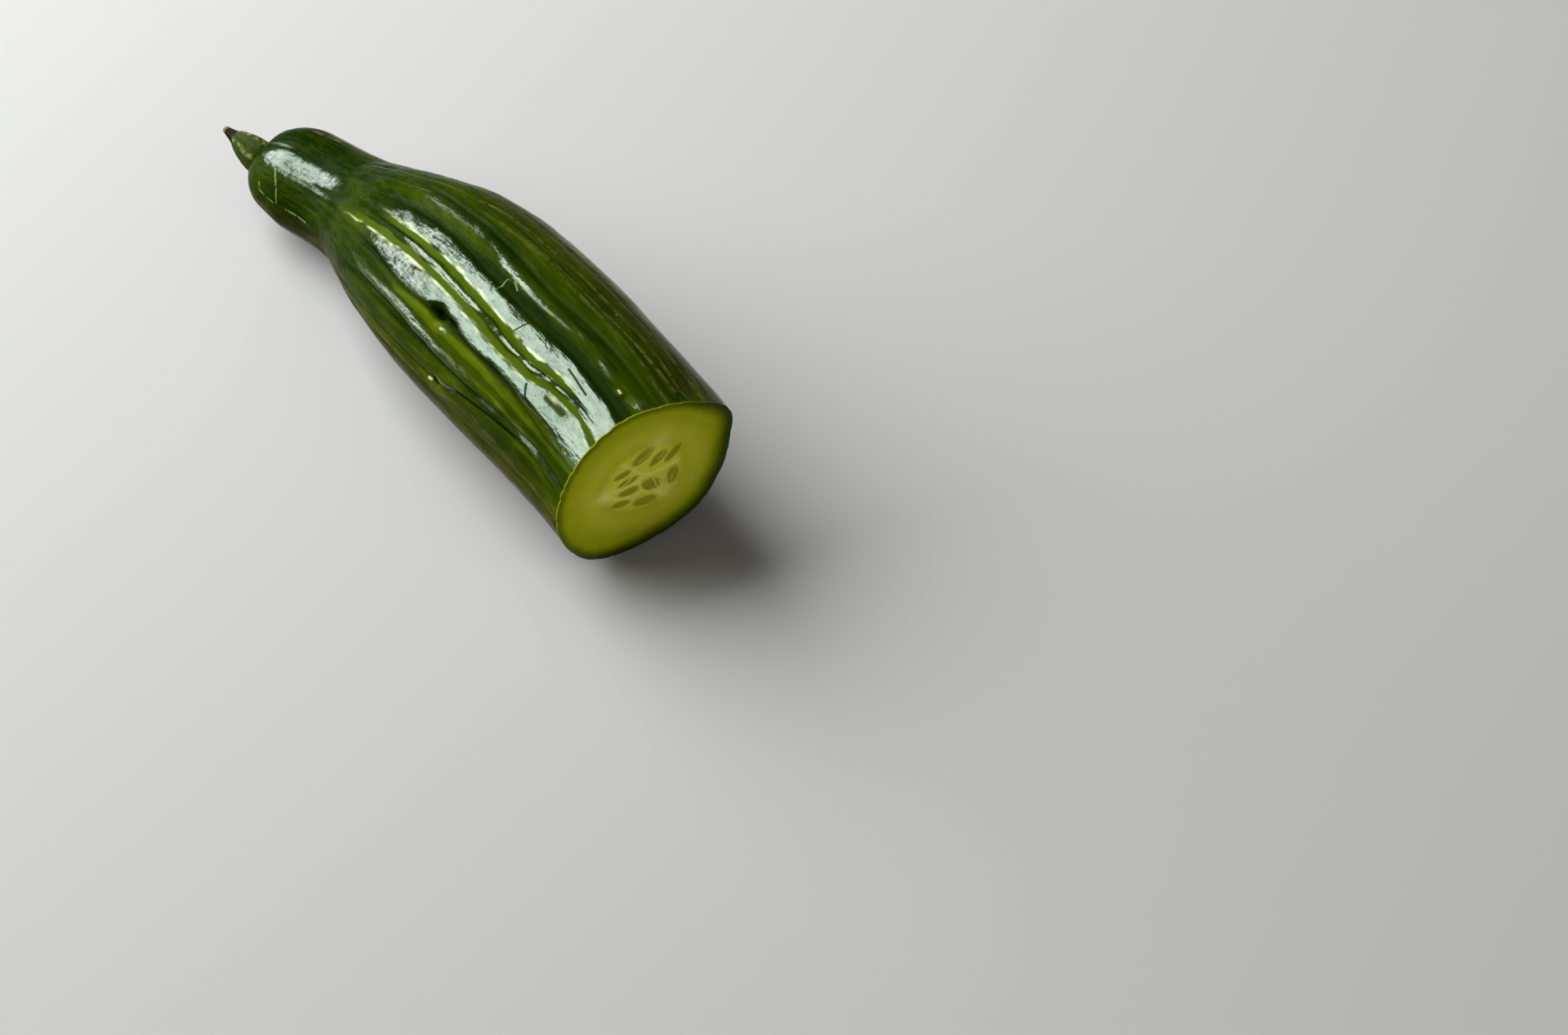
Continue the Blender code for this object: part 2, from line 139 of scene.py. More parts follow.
# How light the skin's green is round the fruit past the neck: angle and lightness
BANDS = [
    (40, 0.35), (50, 0.3), (57, 0.55), (64, 0.4), (71, 0.6), (77, 0.3), (86, 0.2), (91, 0.5), (95, 0.45),
    (99, 0), (104, 0.1), (110, 0.35), (122, 0.3), (134, 0.2), (138, 0.15), (142, 0.62), (150, 0.68),
    (155, 0.5), (160, 0.25), (163, 0.6), (171, 0.45), (180, 0.6), (190, 0.4), (205, 0.5),
]
# The share of a furrow's depth that lies in its narrow part
NARROW_SHARE = 0.55
# How a furrow's floor varies: over which length, how much, and its largest share of the rib
FLOOR_WAVE, FLOOR_SPREAD, FLOOR_SHARE = 5.0 * MM, 1.1, 0.3
FLOOR_SEED = 70
# Over which share a pale floor comes in and goes out
PALE_IN, PALE_OUT = 0.08, 0.04
# The pale lips of the lightest furrows, pale partly as a painted highlight: how far from the floor,
# half-width and height
LIP_AT, LIP_WIDTH, LIP_HEIGHT = 0.40 * MM, 0.16 * MM, 0.06 * MM
# How far furrows and ridges wander from their paths, and over which length
WANDER = 0.16 * MM
WANDER_LENGTH = 9.0 * MM
# Wrinkles and dents all over the skin: height, length along and round, seed
WRINKLES = [
    (0.045 * MM, 7.0 * MM, 1.6 * MM, 60),
    (0.14 * MM, 6.0 * MM, 6.0 * MM, 61),
    (0.035 * MM, 2.4 * MM, 2.4 * MM, 62),
]

# How much of the wrinkles is left where no furrow is
LEAST_WRINKLED = 0.25

HEAD_LIGHTNESS = 0.20
# Lighter patches: how much, then share and angle of the middle, each with its reach; the second, at the
# neck, is a painted soft highlight
LIGHT_PATCHES = [(0.55, 0.76, 0.15, 147, 6), (0.30, 0.37, 0.06, 130, 6)]
# Between which angles the waxy shine of the far flank and of the hidden sides sets in
WAX_FAR, WAX_UNDER = (20.0, 60.0), (195.0, 235.0)

# Narrow ridges that stand on the bands: height, half-width, then share and angle along each
RIDGES = [
    (0.5 * MM, 1.3 * MM,
     [(0.42, 86), (0.5, 87), (0.58, 86.3), (0.66, 90), (0.74, 92), (0.8, 91), (0.85, 87.5), (0.93, 90.5)]),
    (0.42 * MM, 1.2 * MM,
     [(0.4, 149), (0.46, 153), (0.57, 152.7), (0.62, 155.5), (0.7, 156), (0.8, 157), (0.84, 155),
      (0.9, 156.5), (1, 163)]),
    (0.22 * MM, 0.5 * MM, [(0.26, 84), (0.36, 76), (0.47, 70), (0.56, 64), (0.7, 62), (1, 58)]),
    (0.22 * MM, 0.5 * MM, [(0.55, 74), (0.66, 71), (0.78, 72), (0.9, 71), (1, 73)]),
    (0.2 * MM, 0.5 * MM, [(0.6, 68.5), (0.7, 68), (0.85, 66.5), (0.92, 64.5), (1, 62)]),
    (0.18 * MM, 0.5 * MM, [(0.62, 52), (0.8, 51), (1, 47)]),
    (0.2 * MM, 0.6 * MM, [(0.5, 184), (0.66, 184), (0.74, 176), (0.82, 178), (1, 186)]),
]
# The ridges from this one on are thin and brownish, partly their own brown, partly a painted reflection of
# warm light
FIRST_BROWN_RIDGE = 2
RIDGE_SEED = 40
# Over which share before and after its path's ends a ridge comes in and goes out
RIDGE_BEFORE, RIDGE_AFTER = 0.03, 0.04

# Where the skin is glossy: half-widths in degrees of the soft edges on the low and the high side, how
# complete the gloss is along the zone, how strong it is, then its low and its high edge, all by share
GLOSS = [
    (0.4, 1.2,
     [(0.42, 0), (0.45, 0.5), (0.6, 0.7), (0.68, 0.9), (0.8, 1), (1, 1)],
     [(0.42, 0.6), (0.55, 0.8), (0.75, 1)],
     [(0.45, 127), (0.48, 127.5), (0.53, 125.5), (0.65, 126.5), (0.7, 128), (0.76, 130.8), (0.8, 130.3),
      (0.85, 128.5), (0.89, 124), (0.95, 122.5), (0.97, 124.5), (1, 127)],
     [(0.42, 129), (0.45, 133.5), (0.53, 140), (0.58, 140.5), (0.605, 138), (0.645, 131.5), (0.677, 136),
      (0.72, 138.5), (0.77, 136.5), (0.83, 137.5), (0.86, 140), (0.9, 140.5), (0.97, 145.5), (1, 144.5)]),
    (0.5, 0.5,
     [(0.49, 0), (0.52, 0.9), (0.6, 1), (0.69, 1), (0.705, 0.3), (0.75, 0.3), (0.775, 1), (1, 1)],
     [(0.49, 0.5), (0.6, 0.9), (0.75, 1)],
     [(0.5, 118.3), (0.55, 118), (0.61, 118.8), (0.67, 118.8), (0.71, 120), (0.8, 121.3), (0.83, 120.5),
      (0.86, 118.7), (0.9, 117), (0.935, 115), (0.95, 113), (1, 112)],
     [(0.5, 121), (0.61, 122.3), (0.67, 122.8), (0.7, 122), (0.74, 123.8), (0.85, 124.2), (0.87, 121.3),
      (0.9, 120.2), (0.935, 119.4), (0.96, 120.2), (1, 122.5)]),
    (1.6, 0.4,
     [(0.43, 0), (0.445, 0.5), (0.56, 0.65), (0.64, 0.85), (0.76, 1), (1, 1)],
     [(0.43, 0.6), (0.55, 0.8), (0.7, 1)],
     [(0.44, 108.5), (0.45, 104.8), (0.523, 105.5), (0.53, 102.3), (0.55, 101.5), (0.6, 104), (0.65, 105.5),
      (0.715, 107), (0.74, 104.5), (0.77, 106), (0.81, 105.5), (0.87, 103.5), (0.96, 104.5), (1, 107)],
     [(0.44, 114), (0.47, 114.5), (0.55, 112), (0.61, 114), (0.66, 114.5), (0.71, 116), (0.78, 116.5),
      (0.806, 118), (0.83, 117.5), (0.852, 115), (0.93, 114.5), (0.95, 116), (1, 116)]),
    (1.2, 1.2,
     [(0.4, 0), (0.44, 0.8), (0.62, 0.8), (0.645, 1), (0.84, 1), (0.86, 0), (0.885, 0), (0.9, 0.9),
      (0.925, 0.9), (0.935, 0), (0.96, 0), (0.97, 1), (1, 1)],
     [(0.42, 0.15), (0.5, 0.3), (0.6, 0.35), (0.63, 0.4), (0.65, 1), (0.72, 0.9), (0.75, 0.6), (0.84, 0.4),
      (0.89, 0.7), (0.96, 0.7), (0.97, 1), (1, 1)],
     [(0.42, 83.5), (0.5, 84.7), (0.58, 83.8), (0.64, 85.5), (0.66, 88.5), (0.74, 90.3), (0.8, 89.6),
      (0.84, 86), (0.88, 89.3), (0.93, 90), (0.96, 88), (0.985, 84.5), (1, 82)],
     [(0.42, 90.3), (0.5, 91.1), (0.58, 90.5), (0.64, 91.8), (0.66, 94.8), (0.74, 96.1), (0.8, 94.6),
      (0.84, 90.8), (0.88, 93), (0.93, 94), (0.96, 95.3), (0.985, 94.3), (1, 92.3)]),
    (1.2, 1,
     [(0.4, 0), (0.43, 0.8), (0.55, 0.9), (0.66, 1), (0.68, 0.8), (0.86, 0.7), (0.88, 1), (0.92, 1),
      (0.94, 0.7), (0.98, 0.7), (1, 0)],
     [(0.41, 0.2), (0.5, 0.4), (0.56, 0.5), (0.6, 0.7), (0.65, 0.7), (0.68, 0.3), (0.74, 0.2), (0.87, 0.16),
      (0.89, 0.45), (0.92, 0.45), (0.94, 0.16), (1, 0.16)],
     [(0.41, 146.2), (0.45, 149.2), (0.57, 148.2), (0.62, 150.7), (0.68, 151.7), (0.74, 150.2),
      (0.8, 152.7), (0.83, 151), (0.88, 152.2), (0.92, 155.2), (0.96, 158.7)],
     [(0.41, 151), (0.45, 154.5), (0.57, 155.5), (0.62, 158), (0.68, 159), (0.74, 157.5), (0.8, 159.5),
      (0.83, 157), (0.88, 157.7), (0.92, 160.5), (0.96, 164)]),
    (4, 3,
     [(0.03, 0), (0.07, 0.8), (0.12, 0.95), (0.17, 0.82), (0.24, 0.55), (0.31, 0)],
     [(0.03, 0.5), (0.08, 0.88), (0.16, 0.82), (0.3, 0.5)],
     [(0.05, 116), (0.086, 109), (0.2, 109), (0.257, 111), (0.3, 115.5)],
     [(0.05, 125), (0.086, 131), (0.15, 131), (0.19, 127), (0.24, 124), (0.3, 121)]),
    (2.5, 3.5,
     [(0.03, 0), (0.07, 0.62), (0.18, 0.66), (0.24, 0.58), (0.33, 0)],
     [(0.03, 0.4), (0.08, 0.6), (0.16, 0.5), (0.33, 0.25)],
     [(0.05, 120), (0.1, 124), (0.19, 128), (0.25, 130.5), (0.33, 131)],
     [(0.044, 121), (0.054, 129), (0.086, 135.5), (0.12, 137.5), (0.25, 135), (0.33, 132.5)]),
    (1.2, 1.2,
     [(0.04, 0), (0.05, 0.8), (0.085, 0.8), (0.1, 0)],
     [(0.04, 0.4), (0.1, 0.3)],
     [(0.045, 100.5), (0.094, 102.5)],
     [(0.045, 105), (0.094, 106.5)]),
    (0.8, 0.8,
     [(0.67, 0), (0.68, 1), (0.715, 1), (0.725, 0)],
     [(0.67, 0.8), (0.725, 0.8)],
     [(0.67, 171.5), (0.725, 168)],
     [(0.67, 174.5), (0.725, 172)]),
    (0.8, 0.8,
     [(0.655, 0), (0.662, 1), (0.67, 1), (0.678, 0)],
     [(0.65, 0.8), (0.68, 0.8)],
     [(0.65, 141.5), (0.68, 141.5)],
     [(0.65, 144.5), (0.68, 144.5)]),
]

# The angle that the flattened skin is measured from
FLAT_FROM = 120.0

# Pit and warts: share, angle, half-length along, half-width across, height
MARKS = [
    (0.642, 138, 2.4 * MM, 1.6 * MM, -1.3 * MM), (0.672, 136, 3 * MM, 0.9 * MM, -0.45 * MM),
    (0.697, 171.5, 3.2 * MM, 1.2 * MM, 0.45 * MM), (0.668, 176.5, 1.6 * MM, 1.4 * MM, -0.4 * MM),
    (0.716, 106.5, 1 * MM, 1 * MM, 0.3 * MM), (0.956, 94, 1.4 * MM, 1.2 * MM, 0.4 * MM),
    (0.988, 88, 1.2 * MM, 1.2 * MM, 0.35 * MM),
]
MARK_TOP, MARK_FOOT = 0.2, 1.4

# Cut face: seeds by place across and up, turn, length and width, in millimetres and degrees
SEEDS = [
    (0, 6.6, 33, 5.4, 2.5), (3.3, 4.4, 40, 4.7, 2.1), (6.6, 4.1, 46, 4.9, 1.7), (-4.6, 3.5, 15, 3.8, 1.6),
    (-3.6, 0.9, 9, 4.8, 1.5), (-3.3, -2.1, 2, 4.7, 2), (-5.2, -4.9, -8, 4.2, 1.8),
    (0.2, -6.8, -10, 5.3, 2.4), (1.7, -2.6, -35, 4.6, 3.1), (6.4, -2.3, 78, 4.6, 2.7),
]
SEED_HEIGHT = 0.40 * MM
SEED_TOP, SEED_FOOT = 0.5, 1.2
RIM_WIDTH = 0.9 * MM
PLUG_DEPTH = 1.5 * MM
PLUG_GAP = 0.02 * MM

# The stem, as in the solids
STEM_LENGTH = 12.5 * MM
STEM_RADII = [
    (0, 3.5 * MM), (1.5 * MM, 3.75 * MM), (5 * MM, 3.2 * MM), (8 * MM, 2.2 * MM), (9.3 * MM, 1.5 * MM),
    (12.5 * MM, 0.7 * MM),
]
STEM_RIDGES = 5
RIDGE_SHARE = 0.14
SEAT_RADIUS = 4.5 * MM
SEAT_DEPTH = 0.5 * MM
GAP = 0.3 * MM

# How fine the meshes are
SIDE_RINGS = 310
CAP_RINGS = 22
FINE_COLUMNS, COARSE_COLUMNS = 15, 9
COLUMN_CROWDING = 0.11
CENTRELINE_STEPS = 400
FLESH_COLUMNS, FLESH_RINGS = 320, 140
STEM_COLUMNS, STEM_RINGS = 120, 90
# Edges stay sharp from this many degrees on
SHARP_FROM = 50.0

# The camera of the photograph, in the frame that the fruit's centreline starts in
LENS, SENSOR = 65.0, 36.0
CAMERA_HEIGHT = 0.4218
CAMERA_TILT = 47.0
CAMERA_AZIMUTH = 50.0
STEM_END_RIGHT, STEM_END_AWAY = -0.11736, 0.49181


def smooth_between(stations, places):
    """A smooth curve through the stations that never swings past them, read at the places."""
    at, value = np.array(stations, float).T
    step = np.diff(at)
    slope = np.diff(value) / step
    tangent = np.concatenate([[slope[0]], np.zeros(len(at) - 2), [slope[-1]]])
    for k in range(1, len(at) - 1):
        if slope[k - 1] * slope[k] > 0:
            before = (2 * step[k] + step[k - 1]) / (3 * (step[k] + step[k - 1]))
            tangent[k] = slope[k - 1] * slope[k] / (before * slope[k] + (1 - before) * slope[k - 1])
    places = np.clip(places, at[0], at[-1])
    k = np.clip(np.searchsorted(at, places, side="right") - 1, 0, len(step) - 1)
    t = (places - at[k]) / step[k]
    start = (1 + 2 * t) * (1 - t) ** 2 * value[k] + t * (1 - t) ** 2 * step[k] * tangent[k]
    end = t**2 * (3 - 2 * t) * value[k + 1] - t**2 * (1 - t) * step[k] * tangent[k + 1]
    return start + end


def ramp(value, low, high):
    """0 below low, 1 above high and a smooth S between."""
    t = np.clip((value - low) / (high - low), 0.0, 1.0)
    return t * t * (3 - 2 * t)


def cosine(degrees):
    return np.cos(np.radians(degrees))


def sine(degrees):
    return np.sin(np.radians(degrees))


def angle_between(a, b):
    """How far angle a lies past angle b, from -180 to 180 degrees."""
    return (a - b + 180.0) % 360.0 - 180.0


def noise_at(points, seed):
    """Smooth seeded noise of about -1 to 1 at each point."""
    shift = Vector((seed * 17.3, seed * 5.1, seed * 9.7))
    return np.array([noise.noise(Vector(p) + shift) for p in points])


def noise_along(along, lane, level, seed):
    """Smooth seeded noise at places along a line, which the lane and the level set apart from others."""
    ones = np.ones(len(along))
    return noise_at(np.column_stack([along, lane * ones, level * ones]), seed)


def full_radius(share):
    return smooth_between(RADII, share)


def centre_height(share):
    """Height of the centreline: the underside lies along the surface and lifts at the stem end."""
    lift = LIFT * np.clip(1.0 - share / LIFT_SHARE, 0.0, 1.0) ** 2
    return full_radius(share) + lift + ARCH * ramp(np.abs(share - REST_AT), REST_NEAR, REST_FAR)


def rounded_radius(share):
    """The radius with the stem end rounded off as a quarter of an ellipse."""
    to_cap = 1.0 - np.clip(share / CAP_SHARE, 0.0, 1.0)
    return full_radius(share) * np.sqrt(1.0 - to_cap**2)


def centreline(share):
    """Centre points and the directions across, up and along there, for an array of shares."""
    fine = np.linspace(0.0, 1.0, CENTRELINE_STEPS + 1)
    heading = smooth_between(HEADINGS, fine)
    run = FRUIT_LENGTH / CENTRELINE_STEPS
    ways = np.stack([cosine(heading), sine(heading)], axis=1)
    middle = (ways[1:] + ways[:-1]) / 2 * run
    ground = np.vstack([[0.0, 0.0], np.cumsum(middle, axis=0)])
    points = np.column_stack([ground, centre_height(fine)])
    inside = np.clip(share, 0.0, 1.0)
    centre = np.stack([np.interp(inside, fine, points[:, axis]) for axis in range(3)], axis=1)
    slopes = np.gradient(points, axis=0)
    along = np.stack([np.interp(inside, fine, slopes[:, axis]) for axis in range(3)], axis=1)
    along /= np.linalg.norm(along, axis=1)[:, None]
    across = np.column_stack([-along[:, 1], along[:, 0], np.zeros(len(along))])
    across /= np.linalg.norm(across, axis=1)[:, None]
    up = np.cross(along, across)
    return centre, across, up, along


def furrows():
    """Every furrow in order of angle, as its depth, its floor and its function from share to angle."""
    found = []
    for (depth, path), floor in zip(UPPER_FURROWS, FLOORS):
        found.append((depth, floor, lambda share, path=path: smooth_between(path, share)))
    sway = random.Random(SEED_OF_SWAY)
    for k in range(LOWER_FURROW_COUNT):
        middle = LOWER_FROM + (LOWER_TO - LOWER_FROM) * k / (LOWER_FURROW_COUNT - 1)
        waves, start = sway.uniform(*SWAY_WAVES), sway.uniform(0.0, 360.0)
        depth = LOWER_DEPTH * sway.uniform(*DEPTH_SPREAD)
        path = lambda share, m=middle, n=waves, s=start: m + SWAY * sine(360.0 * n * share + s)
        found.append((depth, LOWER_FLOOR, path))
    return found


FURROWS = furrows()


def wandering(share, k):
    """A furrow's path with a small irregular wander, in degrees."""
    path = FURROWS[k][2](share)
    along = share * FRUIT_LENGTH / WANDER_LENGTH
    wave = noise_along(along, 0, 0, k + 1)
    finer = noise_along(along * 2.7, 0, 1, k + 1)
    past_neck = ramp(share, 0.2, 0.5)
    return path + np.degrees(WANDER * (wave + 0.4 * finer) / full_radius(share)) * past_neck


def column_layout():
    """For each column its furrow and how far on it is towards the next one."""
    owners, parts = [], []
    for k in range(len(FURROWS)):
        count = FINE_COLUMNS if k < len(UPPER_FURROWS) else COARSE_COLUMNS
        even = np.arange(count) / count
        parts.extend(even - COLUMN_CROWDING * np.sin(2 * np.pi * even))
        owners.extend([k] * count)
    return np.array(owners), np.array(parts)


def section_radius(share, angle):
    """Radius of the section without its furrows and marks."""
    square = FOUR_SIDED * cosine(4 * (angle - FOUR_SIDED_TURN))
    square += THREE_SIDED * cosine(3 * (angle - THREE_SIDED_TURN))
    oval = smooth_between(OVAL, share) * cosine(2 * (angle - OVAL_TURN))
    body = rounded_radius(share) + ramp(share, SQUARE_FROM, SQUARE_TO) * square + oval
    before = [(turn - 360.0, radius) for turn, radius in CUT_OUTLINE]
    after = [(turn + 360.0, radius) for turn, radius in CUT_OUTLINE]
    cut = smooth_between(before + CUT_OUTLINE + after, angle % 360.0)
    return body + ramp(share, CUT_FROM, 1.0) * (cut - body)


def skin_shape(shares, owners, parts):
    """Angle, radius and masks on the whole net of rings and columns, each as a rings-by-columns array."""
    count = len(FURROWS)
    paths = np.array([wandering(shares, k) for k in range(count)])
    paths = np.vstack([paths, paths[:1] + 360.0])
    first, second = paths[owners].T, paths[owners + 1].T
    angle = first + (second - first) * parts
    radius = np.repeat(rounded_radius(shares)[:, None], len(owners), axis=1)
    width = np.radians(second - first) * radius
    strength = smooth_between(DEPTH_ALONG, shares)[:, None]
    following = (owners + 1) % count
    table = np.array([[depth, *floor] for depth, floor, _ in FURROWS])
    depth = table[owners, 0] + (table[following, 0] - table[owners, 0]) * parts
    broad = (1.0 - np.sin(np.pi * parts) ** HUMP_FULLNESS) * depth * (1.0 - NARROW_SHARE)
    share_net = np.repeat(shares[:, None], len(owners), axis=1)
    fall, pale, floor_mask, lip = np.zeros((4, *angle.shape))
    along = shares * FRUIT_LENGTH / FLOOR_WAVE
    sides = ((owners, parts * width), (following, (1.0 - parts) * width))
    for side, (owner, distance) in enumerate(sides):
        uneven = np.array([noise_along(along, k, 1, FLOOR_SEED + side) for k in range(count)])[owner].T
        floor = np.minimum(table[owner, 1] * (1.0 + FLOOR_SPREAD * uneven), width * FLOOR_SHARE)
        inside = 1.0 - ramp(distance, floor, floor + WALL_WIDTH)
        fall = np.maximum(fall, inside * table[owner, 0] * NARROW_SHARE)
        here = 1.0 - ramp(distance, floor * 0.8, floor + 0.4 * WALL_WIDTH)
        floor_mask = np.maximum(floor_mask, here)
        start, end = table[owner, 3], table[owner, 4]
        length = ramp(share_net, start, start + PALE_IN) * (1.0 - ramp(share_net, end - PALE_OUT, end))
        pale = np.maximum(pale, here * table[owner, 2] * length)
        edge = np.exp(-(((distance - floor - LIP_AT) / LIP_WIDTH) ** 2))
        strong = ramp(uneven, -0.6, 0.1) * (table[owner, 5] == (1, -1)[side])
        lip = np.maximum(lip, edge * strong * length)
    at_rest = 1.0 - ramp(np.abs(share_net - REST_AT), REST_NEAR, REST_FAR)
    under = 1.0 - ramp(np.abs(angle_between(angle, 270.0)), REST_INNER_ANGLE, REST_OUTER_ANGLE)
    kept = strength * (1.0 - at_rest * under)
    radius = section_radius(share_net, angle) - (broad + fall) * kept + LIP_HEIGHT * lip * kept
    ridges, brown = ridge_relief(shares, angle, radius)
    marks, pit = mark_relief(share_net, angle, radius)
    radius += ridges * kept + marks
    wrinkled = LEAST_WRINKLED + (1.0 - LEAST_WRINKLED) * kept
    radius += wrinkle_relief(share_net, angle, radius) * wrinkled
    masks = {"furrow": floor_mask * kept, "pale": pale * kept, "lip": lip, "brown": brown, "pit": pit}
    return angle, radius, masks


def ridge_relief(shares, angle, radius):
    """Height of the narrow ridges, each fading out at both ends of its path, and where they are brown,
    partly as painted reflection.
    """
    height, brown = np.zeros((2, *angle.shape))
    for number, (tall, half_width, path) in enumerate(RIDGES):
        along = shares * FRUIT_LENGTH / WANDER_LENGTH
        wave = noise_along(along, 0, 0, RIDGE_SEED + number)
        course = smooth_between(path, shares)[:, None] + np.degrees(WANDER * wave[:, None] / radius)
        distance = np.radians(np.abs(angle_between(angle, course))) * radius
        ends = ramp(shares, path[0][0] - RIDGE_BEFORE, path[0][0] + RIDGE_AFTER)
        last = path[-1][0]
        if last < 1.0:
            ends = ends * (1.0 - ramp(shares, last - RIDGE_AFTER, last + RIDGE_BEFORE))
        swell = ends * (0.8 + 0.5 * wave)
        height += tall * swell[:, None] * (1.0 - ramp(distance, 0.0, 1.6 * half_width))
        if number >= FIRST_BROWN_RIDGE:
            brown = np.maximum(brown, ends[:, None] * (1.0 - ramp(distance, 0.0, 0.9 * half_width)))
    return height, brown


def mark_relief(share, angle, radius):
    """Height that the pit and the warts add to the skin, and where it is pitted."""
    height, pit = np.zeros((2, *share.shape))
    for at, turn, half_length, half_width, tall in MARKS:
        along = (share - at) * FRUIT_LENGTH / half_length
        across = np.radians(angle_between(angle, turn)) * radius / half_width
        reach = np.hypot(along, across)
        height += tall * (1.0 - ramp(reach, MARK_TOP, MARK_FOOT))
        if tall < 0:
            pit = np.maximum(pit, 1.0 - ramp(reach, 0.5, 1.0))
    return height, pit


def wrinkle_relief(share, angle, radius):
    """Low lengthwise wrinkles and dents all over the skin."""
    points = grain(share, angle, radius).reshape(-1, 3)
    height = np.zeros(len(points))
    for tall, along, around, seed in WRINKLES:
        height += tall * noise_at(points / (along, around, around), seed)
    return height.reshape(share.shape)


def skin_lightness(share, angle):
    """How light the green is: even on the head, banded past the neck, with lighter patches; the neck's is a
    painted soft highlight.
    """
    light = HEAD_LIGHTNESS + (smooth_between(BANDS, angle) - HEAD_LIGHTNESS) * ramp(share, 0.30, 0.60)
    for much, at, length, turn, width in LIGHT_PATCHES:
        light += much * np.exp(-(((share - at) / length) ** 2) - ((angle - turn) / width) ** 2)
    return light


def skin_gloss(share, angle):
    """How complete and how strong the gloss is in the glossy zones."""
    cover, level = np.zeros((2, *share.shape))
    for soft_low, soft_high, completeness, strength, low, high in GLOSS:
        here = ramp(angle - smooth_between(low, share), -soft_low, soft_low)
        here *= ramp(smooth_between(high, share) - angle, -soft_high, soft_high)
        here *= (share >= completeness[0][0]) & (share <= completeness[-1][0])
        cover = np.maximum(cover, here * smooth_between(completeness, share))
        level = np.maximum(level, here * smooth_between(strength, share))
    return cover, level


def skin_wax(angle):
    """The even, low shine of the far flank and of the hidden sides."""
    return np.maximum(ramp(angle, *WAX_UNDER), 1.0 - ramp(angle, *WAX_FAR))


def unrolled(share, angle):
    """A place on the skin laid out flat, in millimetres along and round the fruit."""
    along = share * FRUIT_LENGTH / MM
    around = np.radians(angle - FLAT_FROM) * full_radius(share) / MM
    return np.stack([along, around, np.zeros_like(along)], axis=-1)


def grain(share, angle, radius):
    """A place on the straightened fruit, for patterns that run along it without a seam."""
    return np.stack([share * FRUIT_LENGTH, radius * cosine(angle), radius * sine(angle)], axis=-1)


def seat_share():
    """Share where the rounded end is as wide as the stem's seat."""
    return CAP_SHARE * (1.0 - math.sqrt(1.0 - (SEAT_RADIUS / full_radius(0.0)) ** 2))


def on_fruit(share, across, up, out):
    """World points from places across and up of the centreline, pushed along it by out."""
    centre, side_way, up_way, along_way = centreline(share)
    out = out + math.tan(math.radians(CUT_LEAN)) * up * ramp(share, LEAN_FROM, 1.0)
    points = centre + across[:, None] * side_way + up[:, None] * up_way + out[:, None] * along_way
    points[:, 2] = np.maximum(points[:, 2] - REST_SINK, 0.0)
    return points


def sphere_net(name, columns, rings):
    """A sphere primitive, with the ring and the column of each of its vertices, poles included."""
    bpy.ops.object.select_all(action="DESELECT")
    bpy.ops.mesh.primitive_uv_sphere_add(segments=columns, ring_count=rings, radius=1.0)
    piece = bpy.context.object
    piece.name = name
    piece.data.name = name
    points = np.empty(len(piece.data.vertices) * 3, np.float32)
    piece.data.vertices.foreach_get("co", points)
    points = points.reshape(-1, 3).astype(float)
    ring = np.round(np.arccos(np.clip(points[:, 2], -1.0, 1.0)) / np.pi * rings).astype(int)
    turn = np.degrees(np.arctan2(points[:, 1], points[:, 0])) % 360.0
    column = np.round(turn / 360.0 * columns).astype(int) % columns
    return piece, ring, column


def set_points(piece, points):
    piece.data.vertices.foreach_set("co", points.astype(np.float32).ravel())
    piece.data.update()


def set_attributes(piece, named):
    """Stores a number or a vector for each vertex under each name."""
    for name, values in named.items():
        kind, field = ("FLOAT", "value") if values.ndim == 1 else ("FLOAT_VECTOR", "vector")
        made = piece.data.attributes.new(name, kind, "POINT")
        made.data.foreach_set(field, values.astype(np.float32).ravel())


def smooth_piece(piece):
    bpy.ops.object.select_all(action="DESELECT")
    piece.select_set(True)
    bpy.context.view_layer.objects.active = piece
    bpy.ops.object.shade_smooth_by_angle(angle=math.radians(SHARP_FROM))


